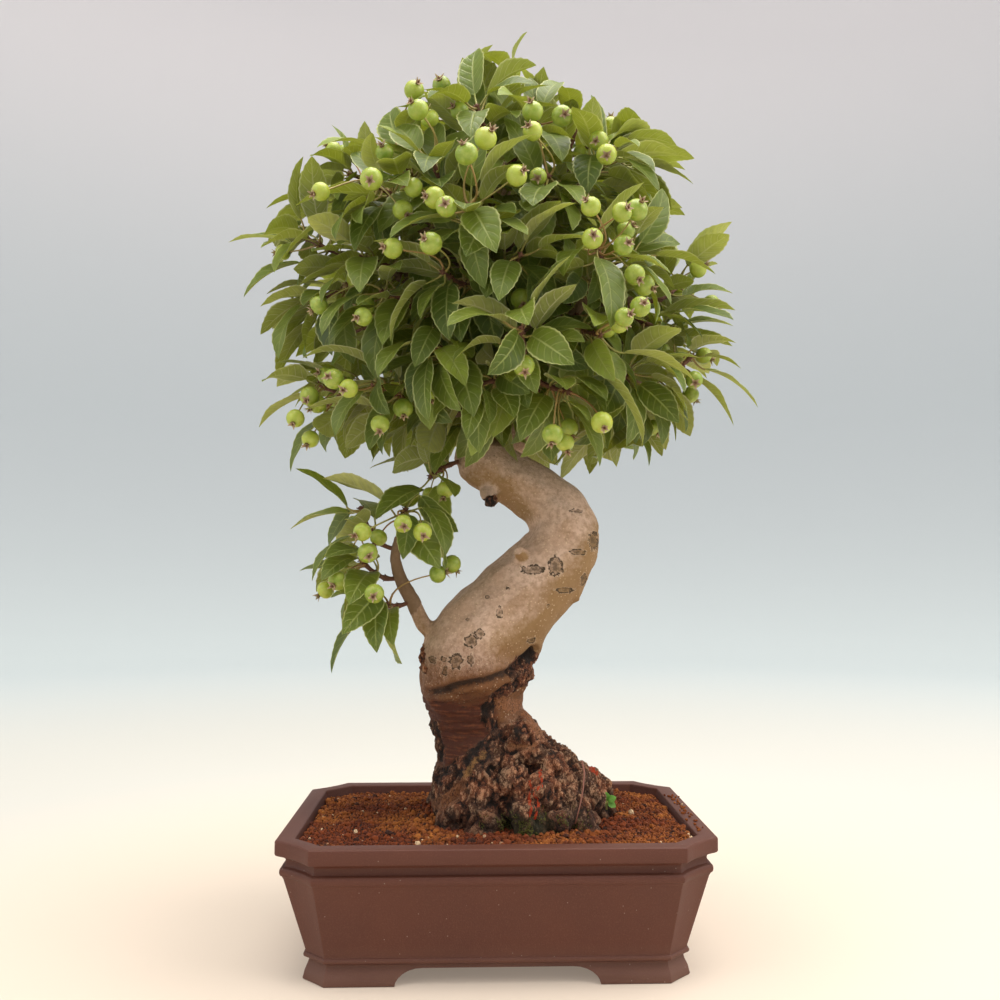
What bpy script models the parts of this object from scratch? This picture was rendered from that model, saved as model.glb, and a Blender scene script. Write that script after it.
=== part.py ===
# Hall crabapple bonsai in its unglazed pot.
# Sizes are in millimetres until the meshes are handed over, then in metres, with Z up.
# The origin is under the pot, at the middle of its feet.
import math
import random

import bmesh
import bpy
from mathutils import Matrix, Vector, noise
from mathutils.bvhtree import BVHTree

MM = 0.001
GAP = 0.3                 # clearance kept between neighbouring solids
SEED = 20                 # every random draw starts from this

# The pot, an octagon that tapers down to four feet
POT_LENGTH = 280.0
POT_DEPTH = 200.0
POT_HEIGHT = 87.5
CORNER_CUT = 25.0
WALL_TAPER = 19.0         # how far in the wall is at its foot
RIM_WIDTH = 12.0
FLOOR_UNDER = 12.0
FLOOR_TOP = 20.0
INNER_WALL = ((RIM_WIDTH + 2, POT_HEIGHT - 12), (28.0, FLOOR_TOP + 2), (31.0, FLOOR_TOP))   # inset, height
SMALLEST_CORNER = 6.0
FOOT_WIDTH = 15.0
FOOT_GAP_FRONT = 128.0    # clear length between the two front feet, at the ground
FOOT_GAP_SIDE = 74.0
FOOT_GAP_ROUND = 17.0     # how the gap's upper corners are rounded
FOOT_GAP_HEIGHT = FLOOR_UNDER - 1.8
HOLE_RADIUS = 9.0
HOLE_OFFSET = 62.0

# The soil, mounded towards the trunk, and the two screens below it
SOIL_EDGE = 83.0
SOIL_MOUND = 6.0
SOIL_POINTS = 24              # corners of the soil's outline
SOIL_RINGS = (1.0, 0.82, 0.55)     # outlines of its top, as shares of the edge's
SCREEN_SIZE = 27.0
SCREEN_THICK = 1.2
SCREEN_HOLE = 4.6
SCREEN_PITCH = 7.4

# Leaves and crab apples
LEAF_LENGTH = (38.0, 54.0)
LEAF_WIDTH = (0.40, 0.48)     # share of the length
LEAF_THICK = 1.3
LEAF_RISE = 0.05              # how a leaf leaves its stalk: a little up, then its curl bends it down
LEAF_FACES_OUT = 0.15         # how far its upper side turns from the sky to the outside of the crown
PETIOLE = (9.0, 16.0)
FRUIT_RADIUS = (5.8, 7.0)
PEDICEL = (17.0, 27.0)
TWIG_RADIUS = (1.6, 1.1)
CLUSTER_HEIGHT = 2.4          # stretch of a twig that leaves and stalks leave from
SHORT_TWIG = 62.0             # below this length a twig bears two clusters, not three
CANOPY_MIDDLE = Vector((0, 0, 455))

# How often a twig, a leaf or an apple is drawn again until it is clear of its neighbours
TWIG_TRIES = 40
AIM_TRIES = 12
FRUIT_TRIES = 40
LEAF_TRIES = 140
FULL_SIZE_TRIES = 90          # later tries draw a smaller leaf
SMALL_LEAF = 0.75

# Half width of the crown at each height, and its depth as a share of that
CROWN = ((322, 70), (345, 140), (380, 172), (410, 180), (450, 176), (490, 184),
         (520, 164), (550, 142), (575, 116), (600, 72), (630, 38), (652, 24))
CROWN_DEPTH = 0.80

# Sides of each kind of tube, and how far bark and roots swell from round, as a share of the radius
TRUNK_SIDES = {"lower": 10, "upper": 8}
ROOT_SIDES = 7
BRANCH_SIDES = 5
TWIG_SIDES = 5
APPLE_SIDES = 8
ROOT_LUMP = 0.2
TRUNK_LUMP = 0.12

# Centre lines as (x, y, z, radius), from the photograph and from how such a tree grows
TRUNK_LOWER = [(-2, -5, 66, 42), (-4, -4, 88, 40), (-8, -2, 112, 36), (-12, 0, 133, 28),
               (-14, -2, 149, 30), (-15, -4, 162, 33), (-16, -6, 174, 36), (-15, -8, 187, 39),
               (-12, -8, 200, 38.5), (-4, -8, 214, 35.5), (12, -6, 231, 32.5), (34, -4, 252, 29.5),
               (47, -2, 271, 27), (49, 0, 289, 25), (39, 2, 305, 21.5), (22, 4, 317, 20),
               (5, 4, 327, 19.5), (-8, 5, 336, 20), (-18, 7, 342, 16.5), (-27, 8, 345, 8)]
TRUNK_UPPER = [(-14, 8, 342, 13), (-6, 20, 351, 16), (4, 30, 356, 15.5), (14, 33, 358, 14.5),
               (23, 32, 362, 13.6), (33, 28, 376, 12.8), (34, 22, 393, 12.8), (25, 16, 412, 12.7),
               (10, 10, 430, 13), (-2, 4, 446, 12.8), (-8, 2, 466, 11.6), (-6, 4, 489, 10.2),
               (1, 6, 513, 8.8), (5, 6, 539, 7.2), (2, 4, 569, 5.6), (0, 2, 596, 3.6)]
ROOTS = [
    [(22, -3, 68, 50), (21, -3, 86, 49), (17, -4, 104, 42), (6, -5, 122, 33), (-6, -4, 142, 26)],
    [(-14, -8, 150, 24), (-20, -18, 122, 16), (-24, -28, 100, 13), (-33, -38, 68, 12)],
    [(-6, -18, 140, 18), (-10, -34, 116, 15), (-8, -44, 94, 13), (-10, -50, 68, 13)],
    [(0, -6, 146, 24), (24, -8, 122, 22), (46, -10, 108, 21), (62, -8, 98, 20), (70, -6, 68, 16)],
    [(14, -16, 128, 19), (38, -30, 108, 17), (54, -38, 90, 14), (62, -42, 68, 13)],
    [(6, -20, 130, 17), (16, -40, 108, 15), (22, -50, 88, 13), (26, -54, 68, 12)],
    [(-12, 10, 144, 21), (-24, 24, 114, 16), (-34, 36, 90, 13), (-42, 42, 68, 11)],
    [(8, 12, 138, 22), (30, 28, 114, 19), (46, 40, 92, 15), (54, 44, 68, 12)],
]
BRANCHES = {
    "left_low": [(30, 25, 378, 5), (-14, -5, 371, 4.2), (-54, -10, 368, 3.6), (-90, -15, 375, 2.8)],
    "left_front": [(28, 20, 387, 5), (4, -12, 382, 4.6), (-42, -32, 412, 3.6), (-55, -42, 432, 2.8)],
    "right_low": [(34, 22, 395, 6), (62, 5, 388, 5), (95, -10, 392, 4), (122, -12, 398, 2.8)],
    "right_mid": [(10, 10, 430, 6), (45, 0, 446, 5), (80, -8, 452, 4), (112, -8, 452, 2.8)],
    "right_front": [(25, 16, 412, 5), (45, -25, 425, 4.4), (58, -50, 438, 3.6), (66, -68, 452, 2.8)],
    "right_up_front": [(-6, 4, 489, 5), (25, -15, 498, 4.4), (46, -30, 510, 3.8), (62, -42, 528, 2.8)],
    "left_mid": [(-2, 4, 446, 6), (-40, -10, 458, 5), (-80, -18, 470, 4), (-112, -18, 482, 2.8)],
    "left_up": [(-8, 2, 466, 5.5), (-35, 8, 496, 4.8), (-65, 8, 524, 4), (-88, 4, 540, 2.8)],
    "front_mid": [(-2, 4, 446, 5), (-6, -30, 458, 4.4), (-10, -58, 466, 3.8), (-14, -78, 474, 2.8)],
    "front_low": [(34, 22, 393, 5), (25, -20, 386, 4.4), (20, -50, 388, 3.8), (18, -74, 392, 2.8)],
    "front_left": [(-8, 2, 466, 5), (-32, -28, 480, 4.4), (-52, -50, 490, 3.8), (-62, -60, 500, 2.8)],
    "right_up": [(1, 6, 513, 5), (35, 8, 528, 4.4), (62, 8, 542, 3.8), (80, 6, 554, 2.8)],
    "back_left": [(-2, 4, 446, 5.5), (-35, 40, 450, 4.8), (-65, 68, 455, 4), (-80, 80, 462, 2.8)],
    "back_right": [(10, 10, 430, 5.5), (45, 42, 440, 4.8), (70, 65, 450, 4), (88, 80, 455, 2.8)],
    "back_mid": [(-8, 2, 466, 5.5), (-4, 40, 480, 4.8), (0, 70, 492, 4), (0, 92, 500, 2.8)],
    "back_low": [(33, 28, 376, 5), (20, 60, 378, 4.4), (5, 85, 384, 2.8)],
    "left_back_low": [(25, 16, 410, 5), (-20, 40, 400, 4.4), (-60, 50, 396, 3.8), (-90, 50, 400, 2.8)],
    "right_back_low": [(34, 24, 390, 5), (60, 50, 388, 4.2), (80, 60, 395, 2.8)],
    "back_up": [(1, 6, 513, 4.5), (0, 35, 535, 3.8), (0, 55, 552, 2.8)],
    "front_up": [(1, 6, 513, 4.5), (-4, -20, 535, 3.8), (-6, -35, 550, 2.8)],
    "lower_left": [(-30, -8, 205, 7), (-48, -10, 216, 6.2), (-58, -12, 235, 5.6), (-66, -16, 250, 4.8),
                   (-70, -18, 265, 4), (-68, -22, 280, 2.8)],
}

# Leafy sprays: what each grows from, at what share of its length, where it ends,
# how many leaves and crab apples it bears, and the leaf tips that the crown's outline needs
SPRAYS = [
    ("upper", 1.0, (16, -4, 620), 6, 0, [(24, -5, 656)]),
    ("upper", 0.93, (-32, 6, 598), 6, 1, []),
    ("upper", 0.90, (36, 22, 590), 6, 1, []),
    ("front_up", 1.0, (-14, -56, 574), 6, 1, []),
    ("front_up", 0.7, (28, -48, 566), 6, 0, []),
    ("back_up", 1.0, (-8, 80, 568), 5, 1, []),
    ("back_up", 0.6, (-46, 52, 560), 5, 0, []),
    ("left_up", 1.0, (-108, 0, 548), 6, 1, [(-166, -10, 517), (-169, 15, 500), (-121, 0, 585)]),
    ("left_up", 0.74, (-72, -26, 556), 6, 0, []),
    ("left_up", 0.6, (-82, 38, 525), 6, 1, []),
    ("right_up", 1.0, (96, 5, 564), 6, 1, [(143, -25, 552), (110, 0, 589), (144, 10, 558)]),
    ("right_up", 0.7, (60, -8, 580), 6, 0, []),
    ("right_up", 0.8, (98, 40, 530), 6, 1, []),
    ("right_up_front", 1.0, (78, -58, 545), 6, 1, []),
    ("right_up_front", 0.65, (34, -74, 518), 6, 1, [(53, -100, 488)]),
    ("front_left", 1.0, (-80, -78, 508), 6, 1, [(-141, -70, 462)]),
    ("front_left", 0.7, (-44, -78, 528), 6, 1, []),
    ("left_mid", 1.0, (-138, -20, 494), 6, 1, [(-190.5, -18, 489), (-176, -30, 446), (-153, -40, 461)]),
    ("left_mid", 0.82, (-128, -22, 444), 6, 1, []),
    ("left_mid", 0.6, (-92, -58, 466), 6, 1, []),
    ("right_mid", 1.0, (138, 2, 470), 6, 1, [(174, 0, 503), (170, 20, 489), (177, 5, 462)]),
    ("right_mid", 0.86, (128, -14, 430), 6, 1, [(176, 0, 436), (167, -30, 414)]),
    ("right_mid", 0.62, (96, -48, 474), 6, 0, []),
    ("front_mid", 1.0, (-20, -106, 486), 6, 1, [(-22, -151, 466), (-9, -112, 430)]),
    ("front_mid", 0.72, (14, -94, 458), 6, 1, []),
    ("front_mid", 0.62, (-36, -88, 448), 6, 0, [(-49, -105, 412)]),
    ("right_front", 1.0, (62, -98, 462), 6, 1, [(20, -108, 430)]),
    ("right_front", 0.7, (66, -86, 408), 6, 1, [(126, -88, 378), (92, -90, 336)]),
    ("front_low", 1.0, (14, -104, 408), 6, 1, [(46, -110, 388)]),
    ("front_low", 0.8, (46, -78, 372), 6, 1, [(67, -70, 324), (58, -100, 346)]),
    ("front_low", 0.74, (-14, -78, 376), 6, 0, [(-20, -96, 338)]),
    ("left_front", 1.0, (-76, -74, 438), 6, 1, [(-109, -84, 400), (-88, -108, 420)]),
    ("left_front", 0.7, (-44, -76, 404), 6, 1, [(-44, -92, 350)]),
    ("left_low", 1.0, (-126, -16, 388), 6, 1, [(-166, -20, 356), (-145, -10, 326)]),
    ("left_low", 0.78, (-84, -48, 382), 6, 1, [(-128, -58, 362)]),
    ("right_low", 1.0, (143, -10, 412), 6, 0, [(190.5, -8, 374), (164, -40, 356)]),
    ("right_low", 0.7, (96, 8, 366), 6, 1, [(112, 0, 332), (92, 24, 334)]),
    ("right_low", 0.66, (92, -48, 392), 6, 0, []),
    ("back_left", 1.0, (-100, 94, 476), 5, 1, []),
    ("back_left", 0.7, (-112, 62, 444), 5, 1, []),
    ("back_left", 0.8, (-48, 106, 452), 5, 0, []),
    ("back_right", 1.0, (106, 92, 470), 5, 1, []),
    ("back_right", 0.7, (118, 56, 438), 5, 1, []),
    ("back_right", 0.8, (58, 108, 446), 5, 0, []),
    ("back_mid", 1.0, (4, 116, 512), 5, 1, [(6, 151, 492)]),
    ("back_mid", 0.78, (-46, 88, 516), 5, 1, []),
    ("back_mid", 0.72, (48, 84, 520), 5, 1, []),
    ("back_low", 1.0, (-8, 110, 402), 5, 1, []),
    ("left_back_low", 1.0, (-116, 52, 402), 5, 1, []),
    ("right_back_low", 1.0, (98, 76, 396), 5, 1, []),
    ("lower_left", 1.0, (-62, -36, 298), 6, 1, []),
    ("lower_left", 0.9, (-94, -22, 300), 5, 1, [(-139, -25, 327), (-144, -15, 285)]),
    ("lower_left", 0.68, (-94, -18, 264), 5, 1, [(-138, -10, 256)]),
    ("lower_left", 0.48, (-84, -26, 236), 5, 0, [(-111, -35, 187), (-112, -10, 204)]),
    ("lower", 0.985, (-46, -18, 322), 5, 1, [(-52, -30, 350), (-81, -50, 290)]),
]
LOW_SPRAYS = ("lower_left", "lower")   # those below the crown, which its outline doesn't bound


def material(name, colour, roughness):
    finish = bpy.data.materials.new(name)
    finish.use_nodes = True
    shader = finish.node_tree.nodes["Principled BSDF"]
    shader.inputs["Base Color"].default_value = (*colour, 1)
    shader.inputs["Roughness"].default_value = roughness
    shader.inputs["Metallic"].default_value = 0
    return finish


def make_object(name, bm, finish=None, smooth_angle=None):
    """Hands a bmesh in millimetres over as an object in metres."""
    bmesh.ops.scale(bm, vec=(MM, MM, MM), verts=bm.verts)
    bmesh.ops.recalc_face_normals(bm, faces=bm.faces)
    mesh = bpy.data.meshes.new(name)
    bm.to_mesh(mesh)
    bm.free()
    if smooth_angle:
        mesh.shade_smooth()
        mesh.set_sharp_from_angle(angle=math.radians(smooth_angle))
    piece = bpy.data.objects.new(name, mesh)
    bpy.context.collection.objects.link(piece)
    if finish:
        mesh.materials.append(finish)
    return piece


def extrude_to(bm, face, points):
    """Extrudes one face and sets its corners on the given points."""
    new_face = bmesh.ops.extrude_discrete_faces(bm, faces=[face])["faces"][0]
    for vert, point in zip(new_face.verts, points):
        vert.co = point
    return new_face


def extrude_rings(bm, rings):
    """A closed tube through rings of equal point counts."""
    start = [bm.verts.new(point) for point in rings[0]]
    face = bm.faces.new(start)
    for ring in rings[1:]:
        face = extrude_to(bm, face, ring)
    bm.faces.new(list(reversed(start)))
    return face


def ring_frames(path):
    """Centre, direction, and two directions across it, carried along the path without twist."""
    centres = [Vector(point[:3]) for point in path]
    last = len(centres) - 1
    frames = []
    across = None
    for i, centre in enumerate(centres):
        along = (centres[min(i + 1, last)] - centres[max(i - 1, 0)]).normalized()
        if across is None:
            across = Vector((1, 0, 0)) if abs(along.x) < 0.9 else Vector((0, 1, 0))
        across = (across - along * across.dot(along)).normalized()
        frames.append((centre, along, across, along.cross(across)))
    return frames


def tube_rings(path, sides, lump=0.0, spare=0.0):
    """Rings round a path of (x, y, z, radius); lump varies the radius by that share."""
    rings = []
    frames = ring_frames(path)
    for point, (centre, along, across, other) in zip(path, frames):
        shift = along * spare * ((point is path[-1]) - (point is path[0]))
        ring = []
        for k in range(sides):
            angle = math.tau * k / sides
            out = across * math.cos(angle) + other * math.sin(angle)
            swell = 1 + lump * noise.noise((centre + out * 40) * 0.045)
            ring.append(centre + shift + out * (point[3] * swell + spare))
        rings.append(ring)
    return rings


def ring_tree(rings):
    """A search tree over the skin of rings, closed at both ends."""
    count = len(rings[0])
    points = [point for ring in rings for point in ring]
    faces = [tuple(reversed(range(count)))]
    for level in range(len(rings) - 1):
        for k in range(count):
            low, high = level * count, (level + 1) * count
            faces.append((low + k, low + (k + 1) % count, high + (k + 1) % count, high + k))
    faces.append(tuple(range(len(points) - count, len(points))))
    low = Vector([min(p[axis] for p in points) for axis in range(3)])
    high = Vector([max(p[axis] for p in points) for axis in range(3)])
    return low, high, BVHTree.FromPolygons(points, faces)


def are_clear(shapes, obstacles):
    for low, high, tree in shapes:
        for other_low, other_high, other in obstacles:
            if any(low[axis] > other_high[axis] or high[axis] < other_low[axis] for axis in range(3)):
                continue
            if tree.overlap(other):
                return False
    return True


def point_on(path, share):
    """The point, radius and direction at a share of a path's length."""
    points = [Vector(point[:3]) for point in path]
    lengths = [(b - a).length for a, b in zip(points, points[1:])]
    left = share * sum(lengths)
    for i, length in enumerate(lengths):
        if left <= length or i == len(lengths) - 1:
            part = min(left / length, 1)
            radius = path[i][3] + (path[i + 1][3] - path[i][3]) * part
            return points[i].lerp(points[i + 1], part), radius, (points[i + 1] - points[i]).normalized()
        left -= length


def twig_rings(start, normal, end, clusters):
    """Rings of a twig that leaves along normal and ends at end."""
    reach = (end - start).length
    handle = start + normal * reach * 0.4
    steps = [0.0]
    for share in clusters:
        steps += [share - CLUSTER_HEIGHT / reach, share]
    rings = []
    across = normal.orthogonal().normalized()
    for step in steps:
        centre = start * (1 - step) ** 2 + handle * 2 * step * (1 - step) + end * step ** 2
        along = ((handle - start) * (1 - step) + (end - handle) * step).normalized()
        across = (across - along * across.dot(along)).normalized()
        radius = TWIG_RADIUS[0] + (TWIG_RADIUS[1] - TWIG_RADIUS[0]) * step
        other = along.cross(across)
        ring = []
        for k in range(TWIG_SIDES):
            angle = math.tau * k / TWIG_SIDES
            ring.append(centre + (across * math.cos(angle) + other * math.sin(angle)) * radius)
        rings.append(ring)
    return rings


def leaf_point(leaf, share):
    """Midrib point, direction and upward normal at a share of the blade's length."""
    angle = leaf["curl"] * share
    ahead, normal = leaf["ahead"], leaf["normal"]
    bend = leaf["length"] / leaf["curl"]
    point = leaf["base"] + ahead * bend * math.sin(angle) - normal * bend * (1 - math.cos(angle))
    return (point, ahead * math.cos(angle) - normal * math.sin(angle),
            normal * math.cos(angle) + ahead * math.sin(angle))


def leaf_rings(leaf, spare=0.0):
    """The petiole's start is left out; the rings run from the blade's foot to its tip."""
    rings = []
    for share, wide in ((0.0, 0.0), (0.34, 1.0), (0.70, 0.72), (1.0, 0.0)):
        point, ahead, normal = leaf_point(leaf, share)
        side = normal.cross(ahead)
        half = leaf["width"] / 2 * wide + spare
        thick = LEAF_THICK / 2 + spare
        if share == 0.0:
            half = thick = 0.8 + spare
        if share == 1.0:
            half = thick = 0.35 + spare
        fold = leaf["fold"] if 0 < share < 1 else 0
        edge = side * half * math.cos(fold)
        rise = normal * half * math.sin(fold)
        rings.append([point - normal * thick, point + edge + rise,
                      point + normal * thick, point - edge + rise])
    return rings


def stalk_start(root, end):
    """The first stretch of a stalk, slim enough to pass its neighbours on the twig."""
    return ring_tree(tube_rings([(*root.lerp(end, 0.05), 0.4), (*root.lerp(end, 0.3), 0.4)], 3))


def leaf_shapes(leaf):
    """What must stay clear: the leaf, a little larger than life, and its stalk's start."""
    rings = leaf_rings(leaf, 0.25)
    start = leaf["root"].lerp(leaf["base"], 0.22)
    shift = start - leaf["base"]
    return [ring_tree([[point + shift for point in rings[0]]] + rings),
            stalk_start(leaf["root"], leaf["base"])]


def fruit_rings(fruit, spare=0.0):
    """The apple in three rings, from its stalk to its flower end."""
    axis = fruit["axis"]
    side = axis.orthogonal().normalized()
    other = axis.cross(side)
    rings = []
    radius = fruit["radius"] + spare
    for angle in (52, 98, 150):
        turn = math.radians(angle)
        centre = fruit["middle"] - axis * radius * math.cos(turn)
        wide = radius * math.sin(turn)
        ring = []
        for k in range(APPLE_SIDES):
            spoke = math.tau * k / APPLE_SIDES
            ring.append(centre + (side * math.cos(spoke) + other * math.sin(spoke)) * wide)
        rings.append(ring)
    return rings


def fruit_shapes(fruit):
    stalk_end = fruit["middle"] - fruit["axis"] * fruit["radius"] * 0.9
    start = fruit["root"].lerp(fruit["knee"], 0.2)
    path = [(*start, 1.0), (*fruit["knee"], 1.0), (*stalk_end, 1.0)]
    return [ring_tree(tube_rings(path, 4)), ring_tree(fruit_rings(fruit, 0.3)),
            stalk_start(fruit["root"], fruit["knee"])]


def crown_half_width(height):
    for (low, wide_low), (high, wide_high) in zip(CROWN, CROWN[1:]):
        if low <= height <= high:
            return wide_low + (wide_high - wide_low) * (height - low) / (high - low)
    return 0.0


def is_in_crown(point, low_spray):
    if low_spray:
        return 190 < point.z < 352 and -140 < point.x < -18 and abs(point.y) < 80
    half = crown_half_width(point.z)
    return half > 0 and (point.x / half) ** 2 + (point.y / (half * CROWN_DEPTH)) ** 2 < 1


def aimed_leaf(slot, tip, draw):
    """A leaf whose tip is set by the crown's outline."""
    span = tip - slot["middle"]
    stalk = min(max(span.length - 48, 9), 24)
    towards = (span.normalized() * 0.8 + slot["out"] * 0.7).normalized()
    base = slot["middle"] + towards * stalk
    chord = tip - base
    curl = draw.uniform(0.5, 0.9)
    ahead = chord.normalized()
    up = Vector((draw.uniform(-0.45, 0.45), draw.uniform(-0.4, 0.2), 1))
    normal = (up - ahead * up.dot(ahead)).normalized()
    turned = Matrix.Rotation(-curl / 2, 3, normal.cross(ahead))
    length = chord.length * (curl / 2) / math.sin(curl / 2)
    return {"root": slot["middle"], "base": base, "ahead": (turned @ ahead).normalized(),
            "normal": (turned @ normal).normalized(), "length": length, "curl": curl,
            "width": min(length * draw.uniform(*LEAF_WIDTH), 23), "fold": draw.uniform(0.25, 0.5)}


def free_leaf(slot, draw, size):
    """A leaf that leans out from its twig and from the crown, and droops."""
    def jitter(amount):
        return Vector([draw.uniform(-amount, amount) for _ in range(3)])
    outward = (slot["middle"] - CANOPY_MIDDLE).normalized()
    lean = math.radians(draw.uniform(15, 50))
    leave = slot["out"] * math.cos(lean) + slot["along"] * math.sin(lean)
    stalk = draw.uniform(*PETIOLE) * size
    ahead = (leave + outward * 0.45 + Vector((0, 0, LEAF_RISE)) + jitter(0.3)).normalized()
    base = slot["middle"] + (leave * 0.75 + ahead * 0.25).normalized() * stalk
    up = Vector((0, 0, 1)) + outward * LEAF_FACES_OUT + jitter(0.35)
    if abs(up.normalized().dot(ahead)) > 0.92:
        up = slot["along"] + jitter(0.3)
    normal = (up - ahead * up.dot(ahead)).normalized()
    length = draw.uniform(*LEAF_LENGTH) * size
    return {"root": slot["middle"], "base": base, "ahead": ahead, "normal": normal,
            "length": length, "curl": draw.uniform(0.45, 1.1),
            "width": length * draw.uniform(*LEAF_WIDTH), "fold": draw.uniform(0.2, 0.5)}


def free_fruit(slot, draw):
    outward = (slot["middle"] - CANOPY_MIDDLE).normalized()
    leave = (slot["out"] + slot["along"] * draw.uniform(0.2, 0.9)).normalized()
    stalk = draw.uniform(*PEDICEL)
    knee = slot["middle"] + leave * stalk * 0.5
    fall = (leave * 0.5 + outward * 0.6 + Vector((draw.uniform(-0.4, 0.4), 0, draw.uniform(-0.9, 0.1))))
    axis = fall.normalized()
    radius = draw.uniform(*FRUIT_RADIUS)
    return {"root": slot["middle"], "knee": knee, "axis": axis, "radius": radius,
            "middle": knee + axis * (stalk * 0.5 + radius)}


def twig_slots(rings):
    """The sides of a twig's clusters, which leaves and stalks can leave from."""
    slots = []
    for cluster, (low, high) in enumerate(zip(rings[1::2], rings[2::2])):
        middle_line = sum(low, Vector()) / TWIG_SIDES
        axis = (sum(high, Vector()) / TWIG_SIDES - middle_line).normalized()
        for side in range(TWIG_SIDES):
            after = (side + 1) % TWIG_SIDES
            corners = [low[side], low[after], high[after], high[side]]
            middle = sum(corners, Vector()) / 4
            out = middle - middle_line
            out = (out - axis * out.dot(axis)).normalized()
            slots.append({"middle": middle, "out": out, "along": axis, "corners": corners,
                          "order": (side * 3) % TWIG_SIDES + cluster * 0.1})
    return slots


def grow_twig(number, paths, skins, obstacles):
    """A spray's twig, drawn again until it is clear of what is there."""
    parent, share, end, leaves, fruits, aims = SPRAYS[number - 1]
    draw = random.Random(SEED * 1000 + number)
    centre, radius, along = point_on(paths[parent], share)
    for attempt in range(TWIG_TRIES):
        target = Vector(end) + Vector([draw.uniform(-1, 1) for _ in range(3)]) * min(attempt, 14)
        if share == 1.0:
            start, normal = centre + along * GAP, along
        else:
            turn = Vector([draw.uniform(-1, 1) for _ in range(3)]) * 0.04 * attempt
            out = target - centre
            out = (out - along * out.dot(along)).normalized() + turn
            out = (out - along * out.dot(along)).normalized()
            hit, normal = skins[parent][2].ray_cast(centre + out * (radius + 25), -out)[:2]
            if normal.dot(out) < 0:
                normal = -normal
            start = hit + normal * GAP
        clusters = (0.62, 1.0) if (target - start).length < SHORT_TWIG else (0.42, 0.72, 1.0)
        rings = twig_rings(start, normal, target, clusters)
        shape = ring_tree(rings)
        if are_clear([shape], obstacles):
            break
    obstacles.append(shape)
    return {"name": f"spray_{number:02d}", "rings": rings, "slots": twig_slots(rings), "draw": draw,
            "leaves": leaves, "fruits": fruits, "aims": aims, "low": parent in LOW_SPRAYS}


def free_slots(spray):
    return [slot for slot in spray["slots"] if "kind" not in slot]


def place(slot, kind, growth, shapes, obstacles):
    slot["kind"], slot["growth"] = kind, growth
    obstacles.extend(shapes)


def place_outline_leaves(spray, obstacles):
    """The leaves whose tips are set."""
    for aim in spray["aims"]:
        tip = Vector(aim)
        free = free_slots(spray)
        free.sort(key=lambda slot: -slot["out"].dot((tip - slot["middle"]).normalized()))
        for slot in free[:4] * AIM_TRIES:
            leaf = aimed_leaf(slot, tip, spray["draw"])
            shapes = leaf_shapes(leaf)
            leans_out = slot["out"].dot((leaf["base"] - leaf["root"]).normalized()) > 0.35
            if leans_out and are_clear(shapes, obstacles):
                place(slot, "leaf", leaf, shapes, obstacles)
                spray["leaves"] -= 1
                break


def place_fruits(spray, obstacles):
    """Crab apples, on stalks that bend softly."""
    for _ in range(spray["fruits"] * FRUIT_TRIES):
        slot = spray["draw"].choice(free_slots(spray))
        fruit = free_fruit(slot, spray["draw"])
        shapes = fruit_shapes(fruit)
        bends_softly = fruit["axis"].dot((fruit["knee"] - fruit["root"]).normalized()) > 0.25
        inside = bends_softly and is_in_crown(fruit["middle"], spray["low"])
        if inside and are_clear(shapes, obstacles):
            place(slot, "fruit", fruit, shapes, obstacles)
            spray["fruits"] -= 1
            if spray["fruits"] == 0:
                break


def place_leaves(spray, obstacles):
    """Leaves that lean out of the crown and droop."""
    for attempt in range(LEAF_TRIES):
        if spray["leaves"] <= 0:
            break
        free = sorted(free_slots(spray), key=lambda slot: slot["order"])
        slot = free[attempt % min(len(free), 4)]
        leaf = free_leaf(slot, spray["draw"], 1.0 if attempt < FULL_SIZE_TRIES else SMALL_LEAF)
        if not is_in_crown(leaf_point(leaf, 1.0)[0], spray["low"]):
            continue
        shapes = leaf_shapes(leaf)
        if are_clear(shapes, obstacles):
            place(slot, "leaf", leaf, shapes, obstacles)
            spray["leaves"] -= 1


def lay_out_sprays():
    """Twigs first, then the leaves of the outline, the crab apples and the other leaves.

    Whatever would cross something already placed is drawn again, and after enough
    tries it is made smaller or left out."""
    paths = {"lower": TRUNK_LOWER, "upper": TRUNK_UPPER, **BRANCHES}
    skins = {}
    for name, path in paths.items():
        lump = TRUNK_LUMP if name == "lower" else 0.0
        skins[name] = ring_tree(tube_rings(path, TRUNK_SIDES.get(name, BRANCH_SIDES), lump))
    obstacles = list(skins.values())
    obstacles += [ring_tree(tube_rings(path, ROOT_SIDES, ROOT_LUMP)) for path in ROOTS]
    sprays = [grow_twig(number, paths, skins, obstacles) for number in range(1, len(SPRAYS) + 1)]
    for place_next in (place_outline_leaves, place_fruits, place_leaves):
        for spray in sprays:
            place_next(spray, obstacles)
    return sprays


def turned_to_fit(corners, ring):
    """The ring, started at the corner that twists the stalk least."""
    middle = sum(corners, Vector()) / len(corners)
    centre = sum(ring, Vector()) / len(ring)

    def twist(shift):
        return -sum((a - middle).normalized().dot((ring[(i + shift) % len(ring)] - centre).normalized())
                    for i, a in enumerate(corners))
    best = min(range(len(ring)), key=twist)
    return ring[best:] + ring[:best]


def find_side(bm, corners):
    """The twig's face with these corners."""
    middle = sum(corners, Vector()) / len(corners)
    return min((face for face in bm.faces if len(face.verts) == 4),
               key=lambda face: (face.calc_center_median() - middle).length)


def grow_leaf(bm, slot):
    face = find_side(bm, slot["corners"])
    corners = [vert.co.copy() for vert in face.verts]
    for ring in leaf_rings(slot["growth"]):
        ring = turned_to_fit(corners, ring)
        face = extrude_to(bm, face, ring)
        corners = ring
    bmesh.ops.pointmerge(bm, verts=face.verts, merge_co=leaf_point(slot["growth"], 1.0)[0])


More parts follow.
